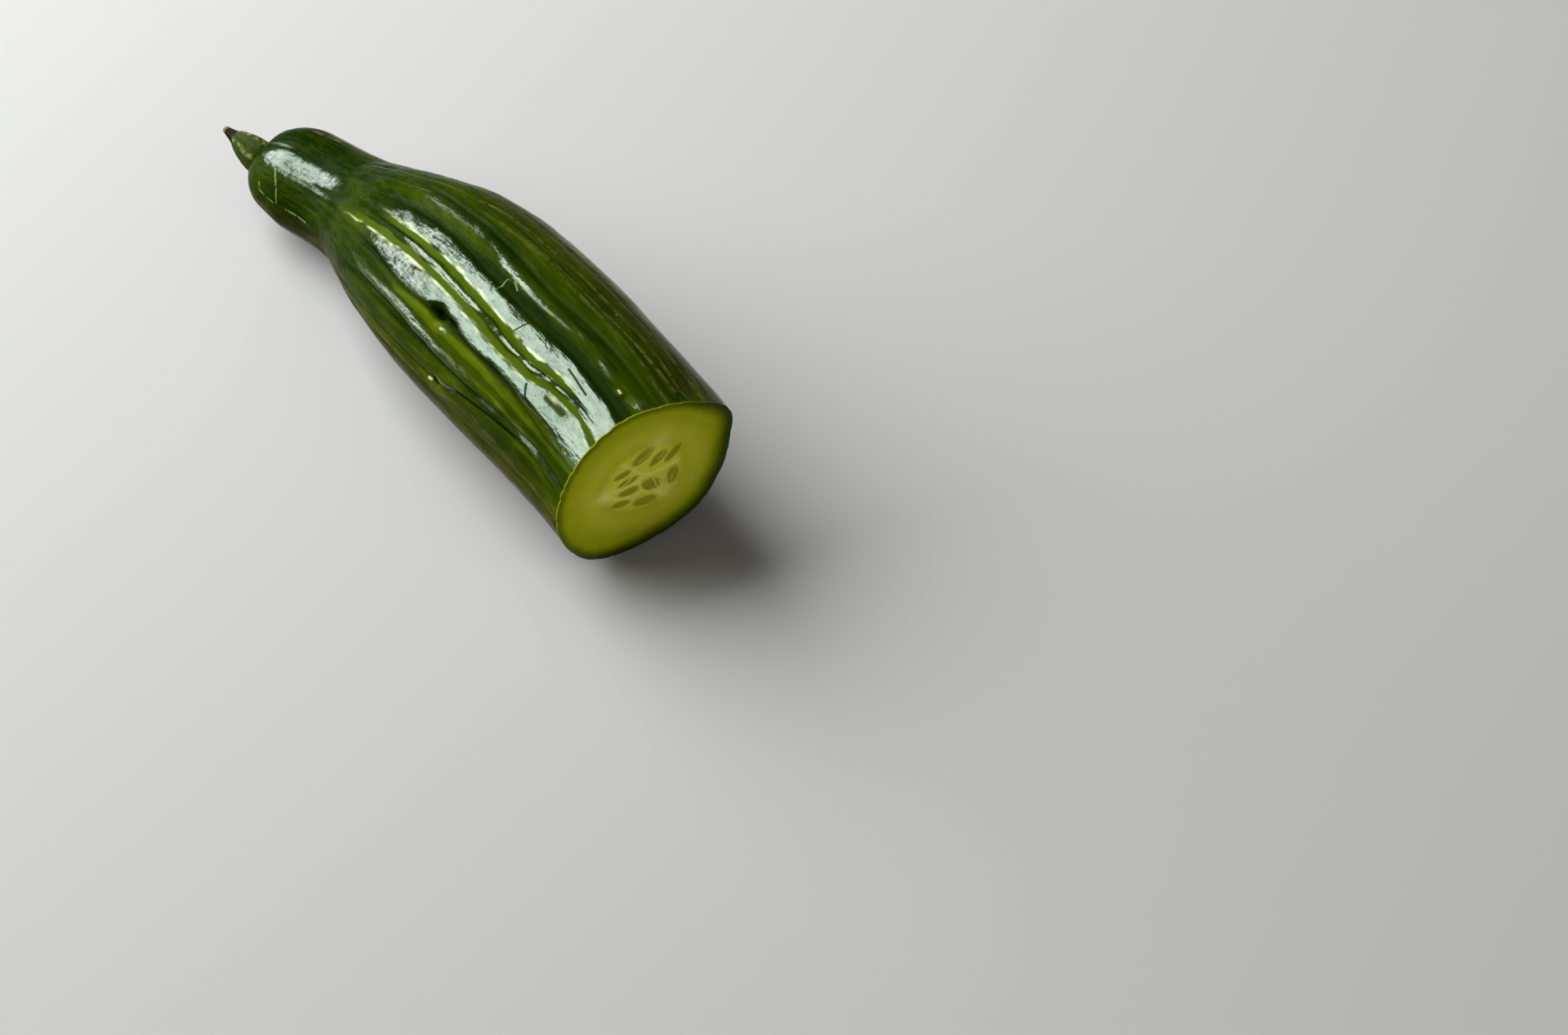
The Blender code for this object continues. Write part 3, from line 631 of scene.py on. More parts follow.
def make_skin():
    """The skin: a sphere drawn out along the fruit, hollowed at the cut for the flesh."""
    owners, parts = column_layout()
    side = 1.0 - (1.0 - CAP_SHARE) * np.arange(SIDE_RINGS) / SIDE_RINGS
    first = math.acos(1.0 - seat_share() / CAP_SHARE)
    turns = np.linspace(math.pi / 2, first, CAP_RINGS)
    shares = np.concatenate([side, CAP_SHARE * (1.0 - np.cos(turns))])
    angle, radius, masks = skin_shape(shares, owners, parts)
    # Rings of the hollow come before the side, and those of the stem's seat after it
    hollow, seat = 4, 2
    rings = hollow + len(shares) + seat
    piece, ring, column = sphere_net("skin", len(owners), rings)
    row = np.clip(ring - hollow, 0, len(shares) - 1)
    share = shares[row]
    reach = radius[row, column]
    turn = angle[row, column]
    out = np.zeros(len(ring))
    inner = reach - RIM_WIDTH
    hollow_reach = np.array([0.0, 0.6, 1.0, 1.0])
    hollow_out = np.array([-PLUG_DEPTH, -PLUG_DEPTH, -PLUG_DEPTH, 0.0])
    in_hollow = ring < hollow
    reach = np.where(in_hollow, inner * hollow_reach[np.clip(ring, 0, hollow - 1)], reach)
    out = np.where(in_hollow, hollow_out[np.clip(ring, 0, hollow - 1)], out)
    past = ring - hollow - len(shares)
    in_seat = past >= 0
    reach = np.where(in_seat, np.where(past == 0, SEAT_RADIUS - SEAT_DEPTH / 2, reach * 0.4), reach)
    reach = np.where(past >= seat, 0.0, reach)
    reach = np.where(ring == 0, 0.0, reach)
    share = np.where(in_seat, share + SEAT_DEPTH / FRUIT_LENGTH, share)
    set_points(piece, on_fruit(share, reach * cosine(turn), reach * sine(turn), out))
    outside = {name: np.where(in_hollow, 0.0, mask[row, column]) for name, mask in masks.items()}
    set_attributes(piece, outside)
    seam_below = angle_between(turn, 90.0) + 90.0
    cover, level = skin_gloss(share, seam_below)
    named = {
        "unrolled": unrolled(share, seam_below),
        "angle": seam_below,
        "share": share,
        "grain": grain(share, turn, reach) / MM,
        "lightness": skin_lightness(share, seam_below),
        "gloss_cover": cover,
        "gloss_level": level,
        "wax": skin_wax(seam_below),
        "rim": np.where(ring <= hollow, 1.0, 0.0),
        "from_rim": (radius[row, column] - reach) / MM,
        "cut_place": np.column_stack([reach * cosine(turn), reach * sine(turn), out]) / MM,
    }
    set_attributes(piece, named)
    smooth_piece(piece)
    return piece


def seed_masks(across, up):
    """Height of the seeds over the cut and how far inside a seed each place is."""
    height, inside = np.zeros((2, len(across)))
    for seed_across, seed_up, turn, length, width in SEEDS:
        x, y = across - seed_across * MM, up - seed_up * MM
        along = (x * cosine(turn) + y * sine(turn)) / (length * MM / 2)
        aside = (y * cosine(turn) - x * sine(turn)) / (width * MM / 2)
        reach = np.hypot(along, aside)
        height = np.maximum(height, SEED_HEIGHT * (1.0 - ramp(reach, SEED_TOP, SEED_FOOT)))
        inside = np.maximum(inside, 1.0 - ramp(reach, 0.80, 1.30))
    return height, inside


# Pale walls and threads between the seeds, in millimetres: half-width, strength, places along each
WALLS = [
    (0.5, 0.55, [(-0.3, 1), (1.7, 0.5), (5, 0.6), (8, 1.4)]),
    (0.45, 0.4, [(-0.3, 1), (-2.8, 4.4), (-4.6, 6.2)]),
    (0.4, 0.4, [(-0.3, 1), (-0.9, -1.7), (-0.3, -3.9), (2.2, -5.2), (4.2, -7.4)]),
    (0.45, 0.5, [(-0.9, -0.6), (-3.4, -0.5), (-8.2, -0.9)]),
    (0.5, 0.45, [(-0.3, -3.9), (-2.6, -4.4), (-8.2, -1.6)]),
    (0.2, 0.6, [(-8, -1.2), (-5.4, 1.4), (-4, 3.2)]),
    (0.2, 0.5, [(-8, -1.2), (-5, 0.6), (-2.6, 1.7)]),
    (0.18, 0.5, [(-7.6, -1.3), (-5.4, -3.6)]),
    (0.18, 0.4, [(-8.4, -1), (-7.2, -4.4)]),
    (0.2, 0.6, [(4.2, -7.2), (1.7, -3.6)]),
    (0.18, 0.6, [(4.2, -7.2), (2.6, -3), (2, -1.2)]),
    (0.18, 0.5, [(4.2, -7.2), (3.6, -2.8)]),
    (0.22, 0.6, [(4.2, -7.2), (5.3, -6), (7.4, -5.6)]),
    (0.18, 0.5, [(5.4, -5.6), (5, -1.6)]),
    (0.18, 0.4, [(5.6, -5.6), (6.4, -2)]),
    (0.18, 0.35, [(4.2, -7.2), (1, -7)]),
    (0.14, 0.55, [(-1.2, 5.9), (1.6, 7.4)]),
    (0.14, 0.35, [(3, 4.4), (4.6, 5.6)]),
]
# Pale patches where the threads meet: place, size and strength
PATCHES = [(-8.6, -1.2, 1.9, 0.75), (5, -7.2, 1.6, 0.45), (3.6, 8.8, 2.2, 0.4), (-0.4, 0.6, 1.2, 0.35)]
# How far the walls and threads wander, over which length, and the seeds of it
THREAD_WANDER, THREAD_WAVE = 0.35, 2.6
THREAD_SEEDS = (90, 91)
# The pale halo: the radius and width of its ring, how far inwards it fills up, and both strengths
HALO_RADIUS, HALO_WIDTH, HALO_FILL = 11.5, 3.6, 5.0
RING_STRENGTH, FILL_STRENGTH = 0.45, 0.95


def wall_masks(across, up):
    """Pale walls and threads, and the halo round the seeds, at each place of the cut."""
    a, b = across / MM, up / MM
    places = np.column_stack([a / THREAD_WAVE, b / THREAD_WAVE, np.zeros(len(a))])
    a, b = (place + THREAD_WANDER * noise_at(places, seed) for place, seed in zip((a, b), THREAD_SEEDS))
    line = np.zeros(len(a))
    for half_width, strength, path in WALLS:
        for (a0, b0), (a1, b1) in zip(path, path[1:]):
            length = math.hypot(a1 - a0, b1 - b0)
            part = np.clip(((a - a0) * (a1 - a0) + (b - b0) * (b1 - b0)) / length**2, 0.0, 1.0)
            distance = np.hypot(a - a0 - part * (a1 - a0), b - b0 - part * (b1 - b0))
            line = np.maximum(line, strength * (1.0 - ramp(distance, 0.2 * half_width, 1.5 * half_width)))
    for a0, b0, size, strength in PATCHES:
        line = np.maximum(line, strength * np.exp(-((a - a0) ** 2 + (b - b0) ** 2) / size**2))
    reach = np.hypot(a, b)
    halo = RING_STRENGTH * np.exp(-(((reach - HALO_RADIUS) / HALO_WIDTH) ** 2))
    halo = np.maximum(halo, FILL_STRENGTH * (1.0 - ramp(reach, HALO_RADIUS - HALO_FILL, HALO_RADIUS)))
    return line, halo


def make_flesh():
    """The flesh of the cut face: a plug that fills the hollow of the skin."""
    owners, parts = column_layout()
    angle, radius = skin_shape(np.array([1.0]), owners, parts)[:2]
    even = np.arange(FLESH_COLUMNS) * 360.0 / FLESH_COLUMNS
    rim_angle = np.concatenate([angle[0] - 360.0, angle[0], angle[0] + 360.0])
    rim = np.interp(even, rim_angle, np.tile(radius[0], 3)) - RIM_WIDTH - PLUG_GAP
    back = 3
    piece, ring, column = sphere_net("flesh", FLESH_COLUMNS, FLESH_RINGS + back)
    part = np.clip(ring / FLESH_RINGS, 0.0, 1.0)
    behind = ring - FLESH_RINGS
    reach = rim[column] * part
    reach = np.where(behind == 2, rim[column] * 0.6, reach)
    reach = np.where(behind >= back, 0.0, reach)
    across, up = reach * cosine(even[column]), reach * sine(even[column])
    height, inside = seed_masks(across, up)
    line, halo = wall_masks(across, up)
    out = np.where(behind > 0, PLUG_GAP - PLUG_DEPTH, height)
    share = np.ones(len(ring))
    set_points(piece, on_fruit(share, across, up, out))
    front = (behind <= 0).astype(float)
    named = {
        "seed": inside * front,
        "line": line * front,
        "halo": halo * front,
        "from_rim": (rim[column] + RIM_WIDTH + PLUG_GAP - reach) / MM,
        "cut_place": np.column_stack([across, up, np.zeros(len(up))]) / MM,
    }
    set_attributes(piece, named)
    smooth_piece(piece)
    return piece


def make_stem():
    """The stub of the stalk, five-ridged and pointed."""
    piece, ring, column = sphere_net("stalk", STEM_COLUMNS, STEM_RINGS)
    part = np.clip((ring - 2) / (STEM_RINGS - 4), 0.0, 1.0)
    out = part * STEM_LENGTH
    reach = smooth_between(STEM_RADII, out)
    reach = reach * np.where(ring == 1, 0.6, 1.0) * np.where(ring == STEM_RINGS - 1, 0.6, 1.0)
    reach = np.where((ring == 0) | (ring == STEM_RINGS), 0.0, reach)
    turn = column * 360.0 / STEM_COLUMNS
    reach = reach * (1.0 + RIDGE_SHARE * cosine(STEM_RIDGES * turn))
    seat_floor = seat_share() + SEAT_DEPTH / FRUIT_LENGTH
    centre, side_way, up_way, along_way = centreline(np.full(len(ring), seat_floor))
    points = centre - (GAP + out)[:, None] * along_way
    points += (reach * cosine(turn))[:, None] * side_way + (reach * sine(turn))[:, None] * up_way
    points[:, 2] -= REST_SINK
    set_points(piece, points)
    set_attributes(piece, {"out": out / STEM_LENGTH, "ridge": cosine(STEM_RIDGES * turn)})
    smooth_piece(piece)
    return piece


def place_on_frame(objects):
    """Fits the new pieces so that the fruit fills the solid's box, and returns the move that it took."""
    low, high = (np.array(corner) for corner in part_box("fruit"))
    skin = np.array([v.co for v in objects[0].data.vertices])
    own_low, own_high = skin.min(axis=0), skin.max(axis=0)
    scale = (high - low) / (own_high - own_low)
    move = low - own_low * scale
    for obj in objects:
        obj.data.transform(Matrix.Translation(move) @ Matrix.Diagonal((*scale, 1.0)))
    return Vector(((low + high - own_low - own_high) / 2 * (1.0, 1.0, 0.0)))


class Nodes:
    """Adds nodes to a tree and joins them, so that a material reads from top to bottom."""

    def __init__(self, tree):
        self.tree = tree

    def add(self, kind, **settings):
        node = self.tree.nodes.new("ShaderNode" + kind)
        for name, value in settings.items():
            setattr(node, name, value)
        return node

    def put(self, socket, value):
        if isinstance(value, bpy.types.NodeSocket):
            self.tree.links.new(value, socket)
        elif value is not None:
            socket.default_value = value

    def filled(self, node, names, values):
        """Sets or joins the node's inputs of these names, and returns its outputs."""
        for name, value in zip(names, values):
            self.put(node.inputs[name], value)
        return node.outputs

    def attribute(self, name, output="Fac"):
        return self.add("Attribute", attribute_name=name).outputs[output]

    def math(self, operation, *values, clamp=False):
        node = self.add("Math", operation=operation, use_clamp=clamp)
        for socket, value in zip(node.inputs, values):
            self.put(socket, value)
        return node.outputs[0]

    def times(self, first, second):
        return self.math("MULTIPLY", first, second)

    def plus(self, first, second):
        return self.math("ADD", first, second)

    def vector(self, operation, *values):
        node = self.add("VectorMath", operation=operation)
        for socket, value in zip(node.inputs, values):
            self.put(socket, value)
        return node.outputs["Value" if operation in ("DOT_PRODUCT", "LENGTH") else "Vector"]

    def scaled(self, vector, factor):
        node = self.add("VectorMath", operation="SCALE")
        return self.filled(node, ("Vector", "Scale"), (vector, factor))["Vector"]

    def dots(self, vector, scale, size, rarity):
        """Small round dots, one in some of the cells that the places fall in."""
        made = self.filled(self.add("TexVoronoi"), ("Vector", "Scale"), (vector, scale))
        chosen = self.between(made["Color"], rarity, rarity + 0.05)
        inside = self.between(made["Distance"], size * 0.5, size, 1.0, 0.0)
        return self.times(chosen, inside)

    def mix(self, factor, first, second):
        node = self.add("Mix", data_type="RGBA")
        return self.filled(node, ("Factor", "A", "B"), (factor, first, second))["Result"]

    def noise(self, vector, scale, detail=3.0, roughness=0.55, distortion=0.0):
        names = ("Vector", "Scale", "Detail", "Roughness", "Distortion")
        values = (vector, scale, detail, roughness, distortion)
        return self.filled(self.add("TexNoise"), names, values)["Fac"]

    def stretched(self, vector, scale):
        node = self.add("Mapping")
        self.put(node.inputs["Vector"], vector)
        node.inputs["Scale"].default_value = scale
        return node.outputs[0]

    def between(self, value, low, high, to_low=0.0, to_high=1.0):
        node = self.add("MapRange", clamp=True, interpolation_type="SMOOTHSTEP")
        names = ("Value", "From Min", "From Max", "To Min", "To Max")
        return self.filled(node, names, (value, low, high, to_low, to_high))[0]

    def bump(self, height, distance, strength=1.0, normal=None):
        names = ("Height", "Distance", "Strength", "Normal")
        return self.filled(self.add("Bump"), names, (height, distance, strength, normal))[0]


def new_material(name):
    made = bpy.data.materials.new(name)
    made.use_nodes = True
    nodes = Nodes(made.node_tree)
    return made, nodes, made.node_tree.nodes["Principled BSDF"]


def new_group(name, inputs, outputs):
    """An empty node group with its named sockets, given as (name, kind) pairs."""
    tree = bpy.data.node_groups.new(name, "ShaderNodeTree")
    for in_out, sockets in (("INPUT", inputs), ("OUTPUT", outputs)):
        for socket, kind in sockets:
            tree.interface.new_socket(socket, in_out=in_out, socket_type="NodeSocket" + kind)
    start = tree.nodes.new("NodeGroupInput")
    end = tree.nodes.new("NodeGroupOutput")
    return tree, Nodes(tree), start.outputs, end.inputs


def stroke_group():
    """1 on the straight stroke between two places and 0 away from it."""
    inputs = [("Place", "Vector"), ("Start", "Vector"), ("End", "Vector"), ("Half Width", "Float")]
    tree, n, given, made = new_group("stroke", inputs, [("Mask", "Float")])
    way = n.vector("SUBTRACT", given["End"], given["Start"])
    offset = n.vector("SUBTRACT", given["Place"], given["Start"])
    onto, whole = n.vector("DOT_PRODUCT", offset, way), n.vector("DOT_PRODUCT", way, way)
    part = n.math("DIVIDE", onto, whole, clamp=True)
    nearest = n.scaled(way, part)
    distance = n.vector("LENGTH", n.vector("SUBTRACT", offset, nearest))
    inner = n.times(given["Half Width"], 0.4)
    n.put(made["Mask"], n.between(distance, inner, given["Half Width"], 1.0, 0.0))
    return tree


def cut_group():
    """Colour of the cut flesh from its masks: pale lines and halo, dark seeds, and a green edge, darker and
    wider on the far, lower side as painted shade.
    """
    numbers = [(name, "Float") for name in ("From Rim", "Seed", "Line", "Halo")]
    inputs = [("Place", "Vector")] + numbers
    tree, n, given, made = new_group("cut colours", inputs, [("Color", "Color")])
    mottle = n.noise(given["Place"], 0.30, 4.0)
    fine = n.noise(given["Place"], 1.6, 3.0)
    colour = n.mix(n.between(mottle, 0.3, 0.7, 0.0, 0.5), FLESH_OLIVE, FLESH_MIDDLE)
    colour = n.mix(n.times(given["Halo"], n.between(fine, 0.2, 0.6, 0.6, 1.0)), colour, FLESH_PALE)
    colour = n.mix(n.times(given["Seed"], SEED_STRENGTH), colour, SEED_OLIVE)
    colour = n.mix(given["Line"], colour, CREAM)
    parted = n.add("SeparateXYZ")
    n.put(parted.inputs[0], given["Place"])
    # From -1 on the near, upper side of the cut to 1 on the far, lower side, where the painted shade of the
    # green edge is widest and darkest
    shaded = n.plus(n.times(parted.outputs["X"], 0.035), n.times(parted.outputs["Y"], -0.030))
    reach = n.between(shaded, -0.5, 0.7, 2.2, 5.6)
    near = n.math("DIVIDE", given["From Rim"], reach)
    # The dark green edge: the flesh's own green under the skin, plus painted shade on the far, lower side
    edge = n.times(n.between(near, 0.05, 1.0, 1.0, 0.0), n.between(shaded, -0.6, 0.3, 0.65, 1.0))
    colour = n.mix(edge, colour, GREEN_EDGE_AND_SHADE)
    dots = n.dots(given["Place"], 0.55, 0.10, 0.86)
    n.put(made["Color"], n.mix(dots, colour, CREAM))
    return tree


# Skin colours
DARK_GREEN = (0.0032, 0.0085, 0.0002, 1.0)
MID_GREEN = (0.0120, 0.0210, 0.0003, 1.0)
LIGHT_GREEN = (0.0400, 0.0560, 0.0005, 1.0)
FURROW_GREEN = (0.0290, 0.0470, 0.0004, 1.0)
PAINTED_REFLECTION_BROWN = (0.0330, 0.0300, 0.0010, 1.0)
RIDGE_BROWN_AND_REFLECTION = (0.0500, 0.0450, 0.0120, 1.0)
HOLLOW_SHADE = (0.0015, 0.0030, 0.0005, 1.0)
CREAM_AND_GLINT = (0.2800, 0.3000, 0.1300, 1.0)
SCRATCH = (0.0800, 0.1200, 0.0400, 1.0)
SCAR_BROWN = (0.0600, 0.0450, 0.0150, 1.0)

# Pale scratches and a scar: half-width in millimetres, then share and angle along each
SCRATCHES = [
    (0.3, [(0.084, 132.5), (0.096, 149.5), (0.106, 168.5)]),
    (0.22, [(0.056, 156), (0.06, 165.5), (0.08, 168), (0.098, 169.5)]),
    (0.3, [(0.132, 169), (0.162, 168.5), (0.198, 170)]),
    (0.22, [(0.671, 105.5), (0.689, 107), (0.687, 101.5), (0.685, 97.5), (0.697, 96), (0.711, 98.5)]),
]
SCARS = [(0.9, [(0.092, 66), (0.11, 62.5), (0.134, 59.5)])]
# A dark crease beside the wart of the near flank, painted shade, and the pale tips of two warts, partly
# painted glints, in the same way
CREASE_SHADE = [(0.45, [(0.668, 177), (0.7, 173.5), (0.73, 168.5), (0.77, 166), (0.82, 162.7), (0.87, 161.5)])]
WART_TIPS_AND_GLINTS = [(0.4, [(0.952, 94), (0.957, 94.2)]), (0.45, [(0.65, 179.5), (0.656, 179)])]
# Dull veins, a crack and a patch inside the glossy zones, in the same way
DULL_LINES = [
    (0.45, [(0.85, 130.5), (0.862, 136.5), (0.93, 138.5), (0.96, 143)]),
    (0.3, [(0.764, 116), (0.77, 107)]),
    (1.3, [(0.893, 127.3), (0.925, 126.8)]),
    (0.35, [(0.88, 108), (0.93, 110)]),
]


def drawn(n, group, place, strokes):
    """One mask for all the strokes."""
    mask = None
    for half_width, path in strokes:
        corners = [unrolled(np.array(share), np.array(angle)) for share, angle in path]
        for first, second in zip(corners, corners[1:]):
            node = n.add("Group", node_tree=group)
            n.put(node.inputs["Place"], place)
            node.inputs["Start"].default_value = first
            node.inputs["End"].default_value = second
            node.inputs["Half Width"].default_value = half_width
            here = node.outputs["Mask"]
            mask = here if mask is None else n.math("MAXIMUM", mask, here)
    return mask


def cut_colour(n, group):
    node = n.add("Group", node_tree=group)
    n.put(node.inputs["Place"], n.attribute("cut_place", "Vector"))
    for socket in ("From Rim", "Seed", "Line", "Halo"):
        n.put(node.inputs[socket], n.attribute(socket.lower().replace(" ", "_")))
    return node.outputs["Color"]


# The skin's gloss: how far the zones lift its mottle, between which values it sets in, and the
# specular levels of the dull skin, of full gloss and of wax
ZONE_LIFT = 0.40
GLOSS_FROM, GLOSS_TO = 0.56, 0.88
DULL_LEVEL, FULL_LEVEL, WAX_LEVEL = 0.004, 0.47, 0.12
SPECULAR_TINT = (0.81, 1.0, 0.80, 1.0)


def skin_material(stroke, cut):
    made, n, shader = new_material("cucumber skin")
    grain_place = n.attribute("grain", "Vector")
    share = n.attribute("share")
    angle = n.attribute("angle")

    def grained(along, around, *more):
        return n.noise(n.stretched(grain_place, (along, around, around)), 1.0, *more)

    broad = grained(0.035, 0.14, 4.0)
    streaks = grained(0.14, 0.8, 2.0, 0.5)
    fine_streaks = grained(0.5, 2.0, 2.0)
    tone = n.plus(n.attribute("lightness"), n.between(broad, 0.25, 0.75, -0.25, 0.25))
    tone = n.plus(tone, n.between(streaks, 0.3, 0.7, -0.12, 0.12))
    colour = n.mix(n.between(tone, 0.0, 0.5), DARK_GREEN, MID_GREEN)
    colour = n.mix(n.between(tone, 0.45, 1.05), colour, LIGHT_GREEN)
    # Olive-brown streaks on both flanks: a painted reflection of warm brown surroundings
    flank = n.math("MAXIMUM", n.between(angle, 164.0, 196.0), n.between(angle, 68.0, 40.0))
    brown = n.times(flank, n.between(streaks, 0.38, 0.62, 0.25, 0.85))
    colour = n.mix(brown, colour, PAINTED_REFLECTION_BROWN)
    # Painted shade: the furrow floors darken towards dark green, except where they are pale
    furrow_shade = n.times(n.math("SUBTRACT", n.attribute("furrow"), n.attribute("pale")), 0.6)
    colour = n.mix(furrow_shade, colour, DARK_GREEN)
    broken = n.between(n.noise(grain_place, 0.7, 2.0), 0.35, 0.55)
    # Brownish ridges: partly their own colour, partly a painted reflection of warm light
    colour = n.mix(n.times(n.attribute("brown"), broken), colour, RIDGE_BROWN_AND_REFLECTION)
    colour = n.mix(n.attribute("pale"), colour, FURROW_GREEN)
    # Pale cream lips along the lightest furrows: partly their own colour, partly a painted highlight
    colour = n.mix(n.attribute("lip"), colour, CREAM_AND_GLINT)
    place = n.attribute("unrolled", "Vector")
    colour = n.mix(n.times(drawn(n, stroke, place, SCRATCHES), broken), colour, SCRATCH)
    colour = n.mix(n.times(drawn(n, stroke, place, SCARS), broken), colour, SCAR_BROWN)
    # Painted shade along the crease beside the wart
    colour = n.mix(n.times(drawn(n, stroke, place, CREASE_SHADE), 0.8), colour, HOLLOW_SHADE)
    # Pale wart tips: partly their own colour, partly painted glints
    colour = n.mix(n.times(drawn(n, stroke, place, WART_TIPS_AND_GLINTS), 0.8), colour, CREAM_AND_GLINT)
    colour = n.mix(n.dots(grain_place, 0.30, 0.07, 0.80), colour, SCRATCH)
    # Painted shade inside the pit
    colour = n.mix(n.attribute("pit"), colour, HOLLOW_SHADE)
    rim = n.attribute("rim")
    mottle = grained(0.22, 0.7, 3.0, 0.55, 1.2)
    fibres = grained(1.1, 0.5, 3.0, 0.55, 1.0)
    mottle = n.plus(n.times(mottle, 0.6), n.times(fibres, 0.4))
    reach = n.plus(mottle, n.times(n.attribute("gloss_cover"), ZONE_LIFT))
    gloss = n.times(n.between(reach, GLOSS_FROM, GLOSS_TO), n.attribute("gloss_level"))
    sheen = grained(0.35, 1.1, 4.0, 0.6)
    gloss = n.times(gloss, n.between(sheen, 0.36, 0.60, 0.68, 1.0))
    dull = n.times(drawn(n, stroke, place, DULL_LINES), 0.85)
    dull = n.math("MAXIMUM", dull, n.attribute("pit"))
    gloss = n.times(gloss, n.math("SUBTRACT", 1.0, n.math("MAXIMUM", dull, rim)))
    wax = n.times(n.attribute("wax"), WAX_LEVEL)
    dimples = grained(0.40, 0.65, 3.0, 0.5, 0.8)
    pebbles = grained(0.9, 1.6, 2.0)
    normal = n.bump(dimples, 0.22 * MM, n.between(share, 0.55, 0.95, 1.0, 0.25))
    for height, distance in ((streaks, 0.14 * MM), (fine_streaks, 0.025 * MM), (pebbles, 0.03 * MM)):
        normal = n.bump(height, distance, 1.0, normal)
    values = {
        "Base Color": n.mix(rim, colour, cut_colour(n, cut)),
        "Roughness": n.between(fine_streaks, 0.3, 0.7, 0.12, 0.22),
        "Specular IOR Level": n.math("MAXIMUM", n.between(gloss, 0.0, 1.0, DULL_LEVEL, FULL_LEVEL), wax),
        "Specular Tint": SPECULAR_TINT,
        "Normal": normal,
    }
    n.filled(shader, values, values.values())
    return made


# Flesh colours
FLESH_OLIVE = (0.310, 0.350, 0.002, 1.0)
FLESH_MIDDLE = (0.430, 0.430, 0.006, 1.0)
FLESH_PALE = (0.740, 0.690, 0.060, 1.0)
GREEN_EDGE_AND_SHADE = (0.020, 0.042, 0.001, 1.0)
SEED_OLIVE = (0.225, 0.215, 0.003, 1.0)
SEED_STRENGTH = 0.78
CREAM = (0.850, 0.820, 0.200, 1.0)


def flesh_material(cut):
    made, n, shader = new_material("cucumber flesh")
    values = {
        "Base Color": cut_colour(n, cut),
        "Roughness": 0.5,
        "Specular IOR Level": 0.02,
        "Subsurface Weight": 0.25,
        "Subsurface Radius": (1.6 * MM, 1.5 * MM, 0.5 * MM),
        "Subsurface Scale": 1.0,
        "Normal": n.bump(n.noise(n.attribute("cut_place", "Vector"), 1.8, 4.0), 0.1 * MM),
    }
    n.filled(shader, values, values.values())
    return made


STALK_GREEN = (0.014, 0.024, 0.001, 1.0)
STALK_PALE = (0.100, 0.105, 0.022, 1.0)
STALK_DARK = (0.005, 0.004, 0.0005, 1.0)
STALK_TIP = (0.110, 0.090, 0.018, 1.0)


def stem_material():
    made, n, shader = new_material("stalk")
    coords = n.add("TexCoord").outputs["Object"]
    patches = n.noise(coords, 650.0, 4.0)
    ridge = n.between(n.attribute("ridge"), 0.2, 0.95)
    colour = n.mix(n.times(ridge, n.between(patches, 0.45, 0.62)), STALK_GREEN, STALK_PALE)
    out = n.attribute("out")
    colour = n.mix(n.between(out, 0.66, 0.76), colour, STALK_DARK)
    colour = n.mix(n.between(out, 0.92, 0.98), colour, STALK_TIP)
    normal = n.bump(patches, 0.3 * MM)
    values = {"Base Color": colour, "Roughness": 0.5, "Specular IOR Level": 0.02, "Normal": normal}
    n.filled(shader, values, values.values())
    return made


FLOOR_GREY = (0.235, 0.228, 0.218, 1.0)
FLOOR_SIZE = 6.0


def floor_material():
    made, n, shader = new_material("pale floor")
    values = {"Base Color": FLOOR_GREY, "Roughness": 0.8, "Specular IOR Level": 0.1}
    n.filled(shader, values, values.values())
    return made


def to_row(right, away, height):
    """A direction or place from the photograph's table frame to the frame of the fruit's centreline."""
    turn = math.radians(CAMERA_AZIMUTH)
    x = right * math.cos(turn) - away * math.sin(turn)
    y = right * math.sin(turn) + away * math.cos(turn)
    return Vector((x, y, height))


def make_camera(move):
    tilt = math.radians(CAMERA_TILT)
    place = to_row(-STEM_END_RIGHT, -STEM_END_AWAY, CAMERA_HEIGHT) + move
    look = to_row(0.0, math.cos(tilt), -math.sin(tilt))
    data = bpy.data.cameras.new("camera")
    data.lens = LENS
    data.sensor_width = SENSOR
    data.clip_start = 0.01
    camera = bpy.data.objects.new("camera", data)
    bpy.context.scene.collection.objects.link(camera)
    camera.location = place
    camera.rotation_mode = "QUATERNION"
    camera.rotation_quaternion = look.to_track_quat("-Z", "Y")
    bpy.context.scene.camera = camera


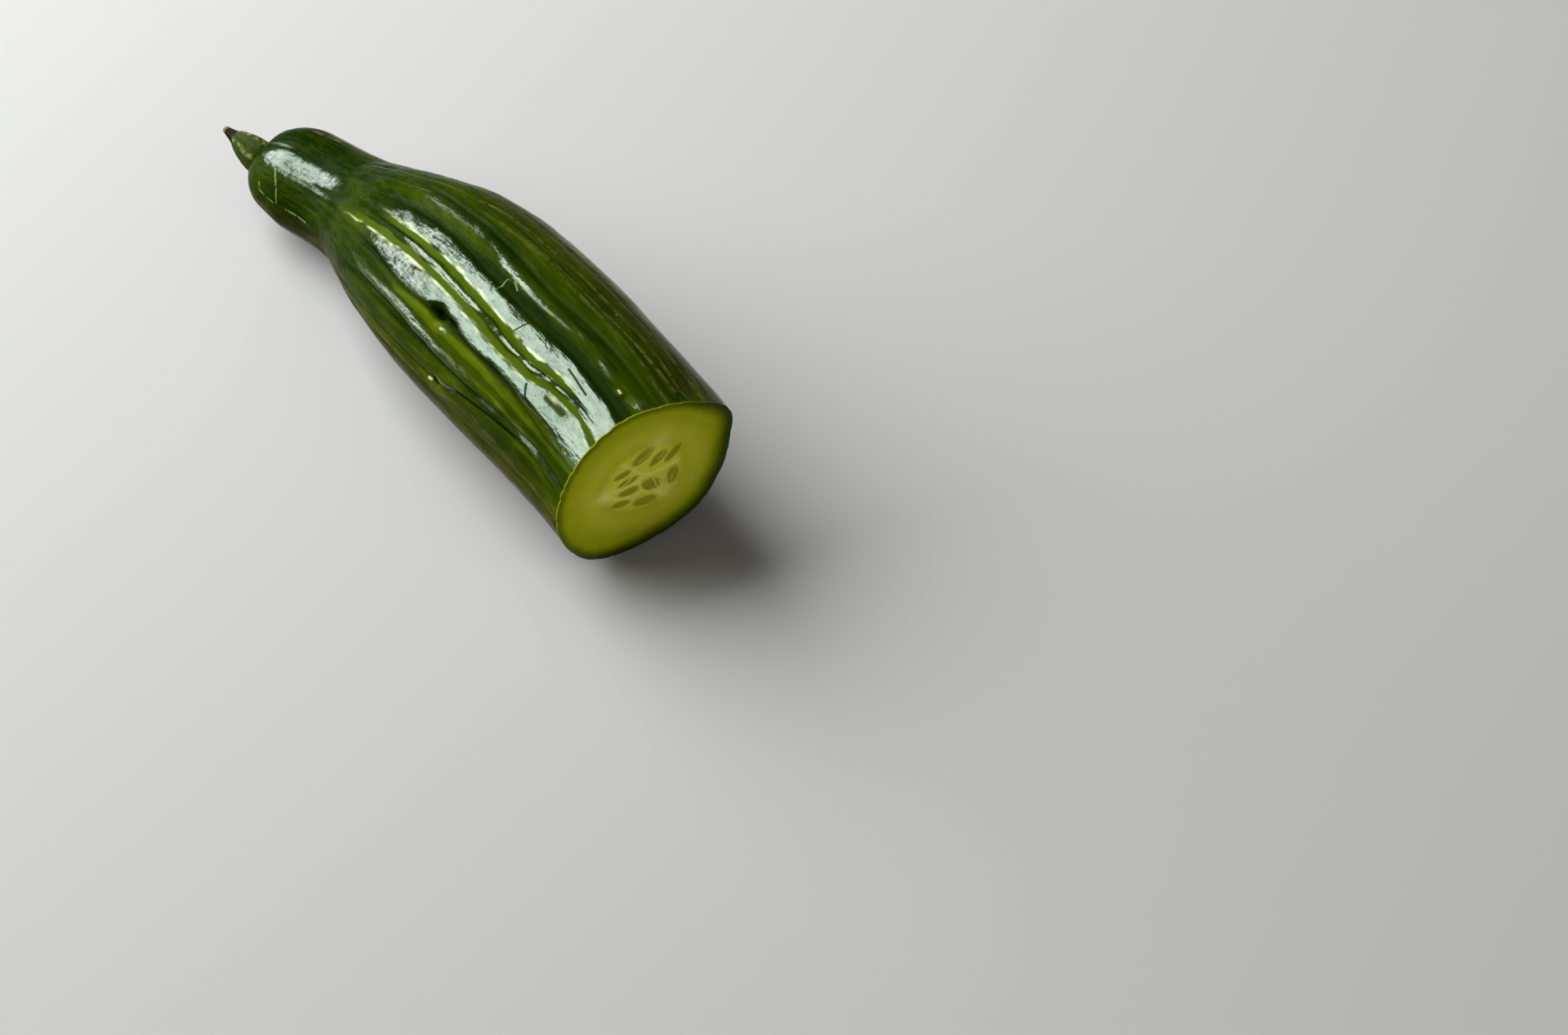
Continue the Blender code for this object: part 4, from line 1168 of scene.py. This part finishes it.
# Lights: name, way to it, direction of its first side, distance, size, shift, radiance and colour
LIGHTS = [
    ("key light", (-0.57, -0.46, 0.68), (0.0, -0.83, -0.56), 1.0, (1.44, 1.20), (-0.06, -0.36), 15.0,
     (0.94, 0.98, 1.0)),
    ("fill light", (0.75, 0.2, 0.6), (0.0, 1.0, 0.0), 1.4, (0.8, 0.8), (0.0, 0.0), 2.0, (1.0, 0.98, 0.94)),
]
LIT_PLACE = Vector((0.0, 0.0, 0.02))
SKY_COLOUR, SKY_STRENGTH = (0.95, 0.97, 1.0, 1.0), 0.12


def softbox(name, way, around, distance, size, shift, radiance, colour):
    """A rectangular light that faces the lit place from the given way."""
    way, around = Vector(way).normalized(), Vector(around).normalized()
    along = way.cross(around)
    data = bpy.data.lights.new(name, "AREA")
    data.shape = "RECTANGLE"
    data.size, data.size_y = size
    data.energy = radiance * math.pi * size[0] * size[1]
    data.color = colour
    lamp = bpy.data.objects.new(name, data)
    bpy.context.scene.collection.objects.link(lamp)
    lamp.location = LIT_PLACE + way * distance + around * shift[0] + along * shift[1]
    lamp.rotation_mode = "QUATERNION"
    lamp.rotation_quaternion = Matrix((around, along, way)).transposed().to_quaternion()


def make_studio():
    bpy.ops.object.select_all(action="DESELECT")
    bpy.ops.mesh.primitive_plane_add(size=FLOOR_SIZE, location=(0.0, 0.0, 0.0))
    floor = bpy.context.object
    floor.name = "floor"
    floor.data.materials.append(floor_material())
    for light in LIGHTS:
        softbox(*light)
    world = bpy.data.worlds.new("studio")
    bpy.context.scene.world = world
    world.use_nodes = True
    background = world.node_tree.nodes["Background"]
    background.inputs["Color"].default_value = SKY_COLOUR
    background.inputs["Strength"].default_value = SKY_STRENGTH
    bpy.context.scene.view_settings.view_transform = "Standard"


def dress(piece, material, node):
    piece.data.materials.clear()
    piece.data.materials.append(material)
    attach(piece, "root")
    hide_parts(node)


skin, flesh, stalk = make_skin(), make_flesh(), make_stem()
move = place_on_frame([skin, flesh, stalk])
make_camera(move)
make_studio()
cut = cut_group()
dress(skin, skin_material(stroke_group(), cut), "fruit")
dress(flesh, flesh_material(cut), "fruit")
dress(stalk, stem_material(), "stem")
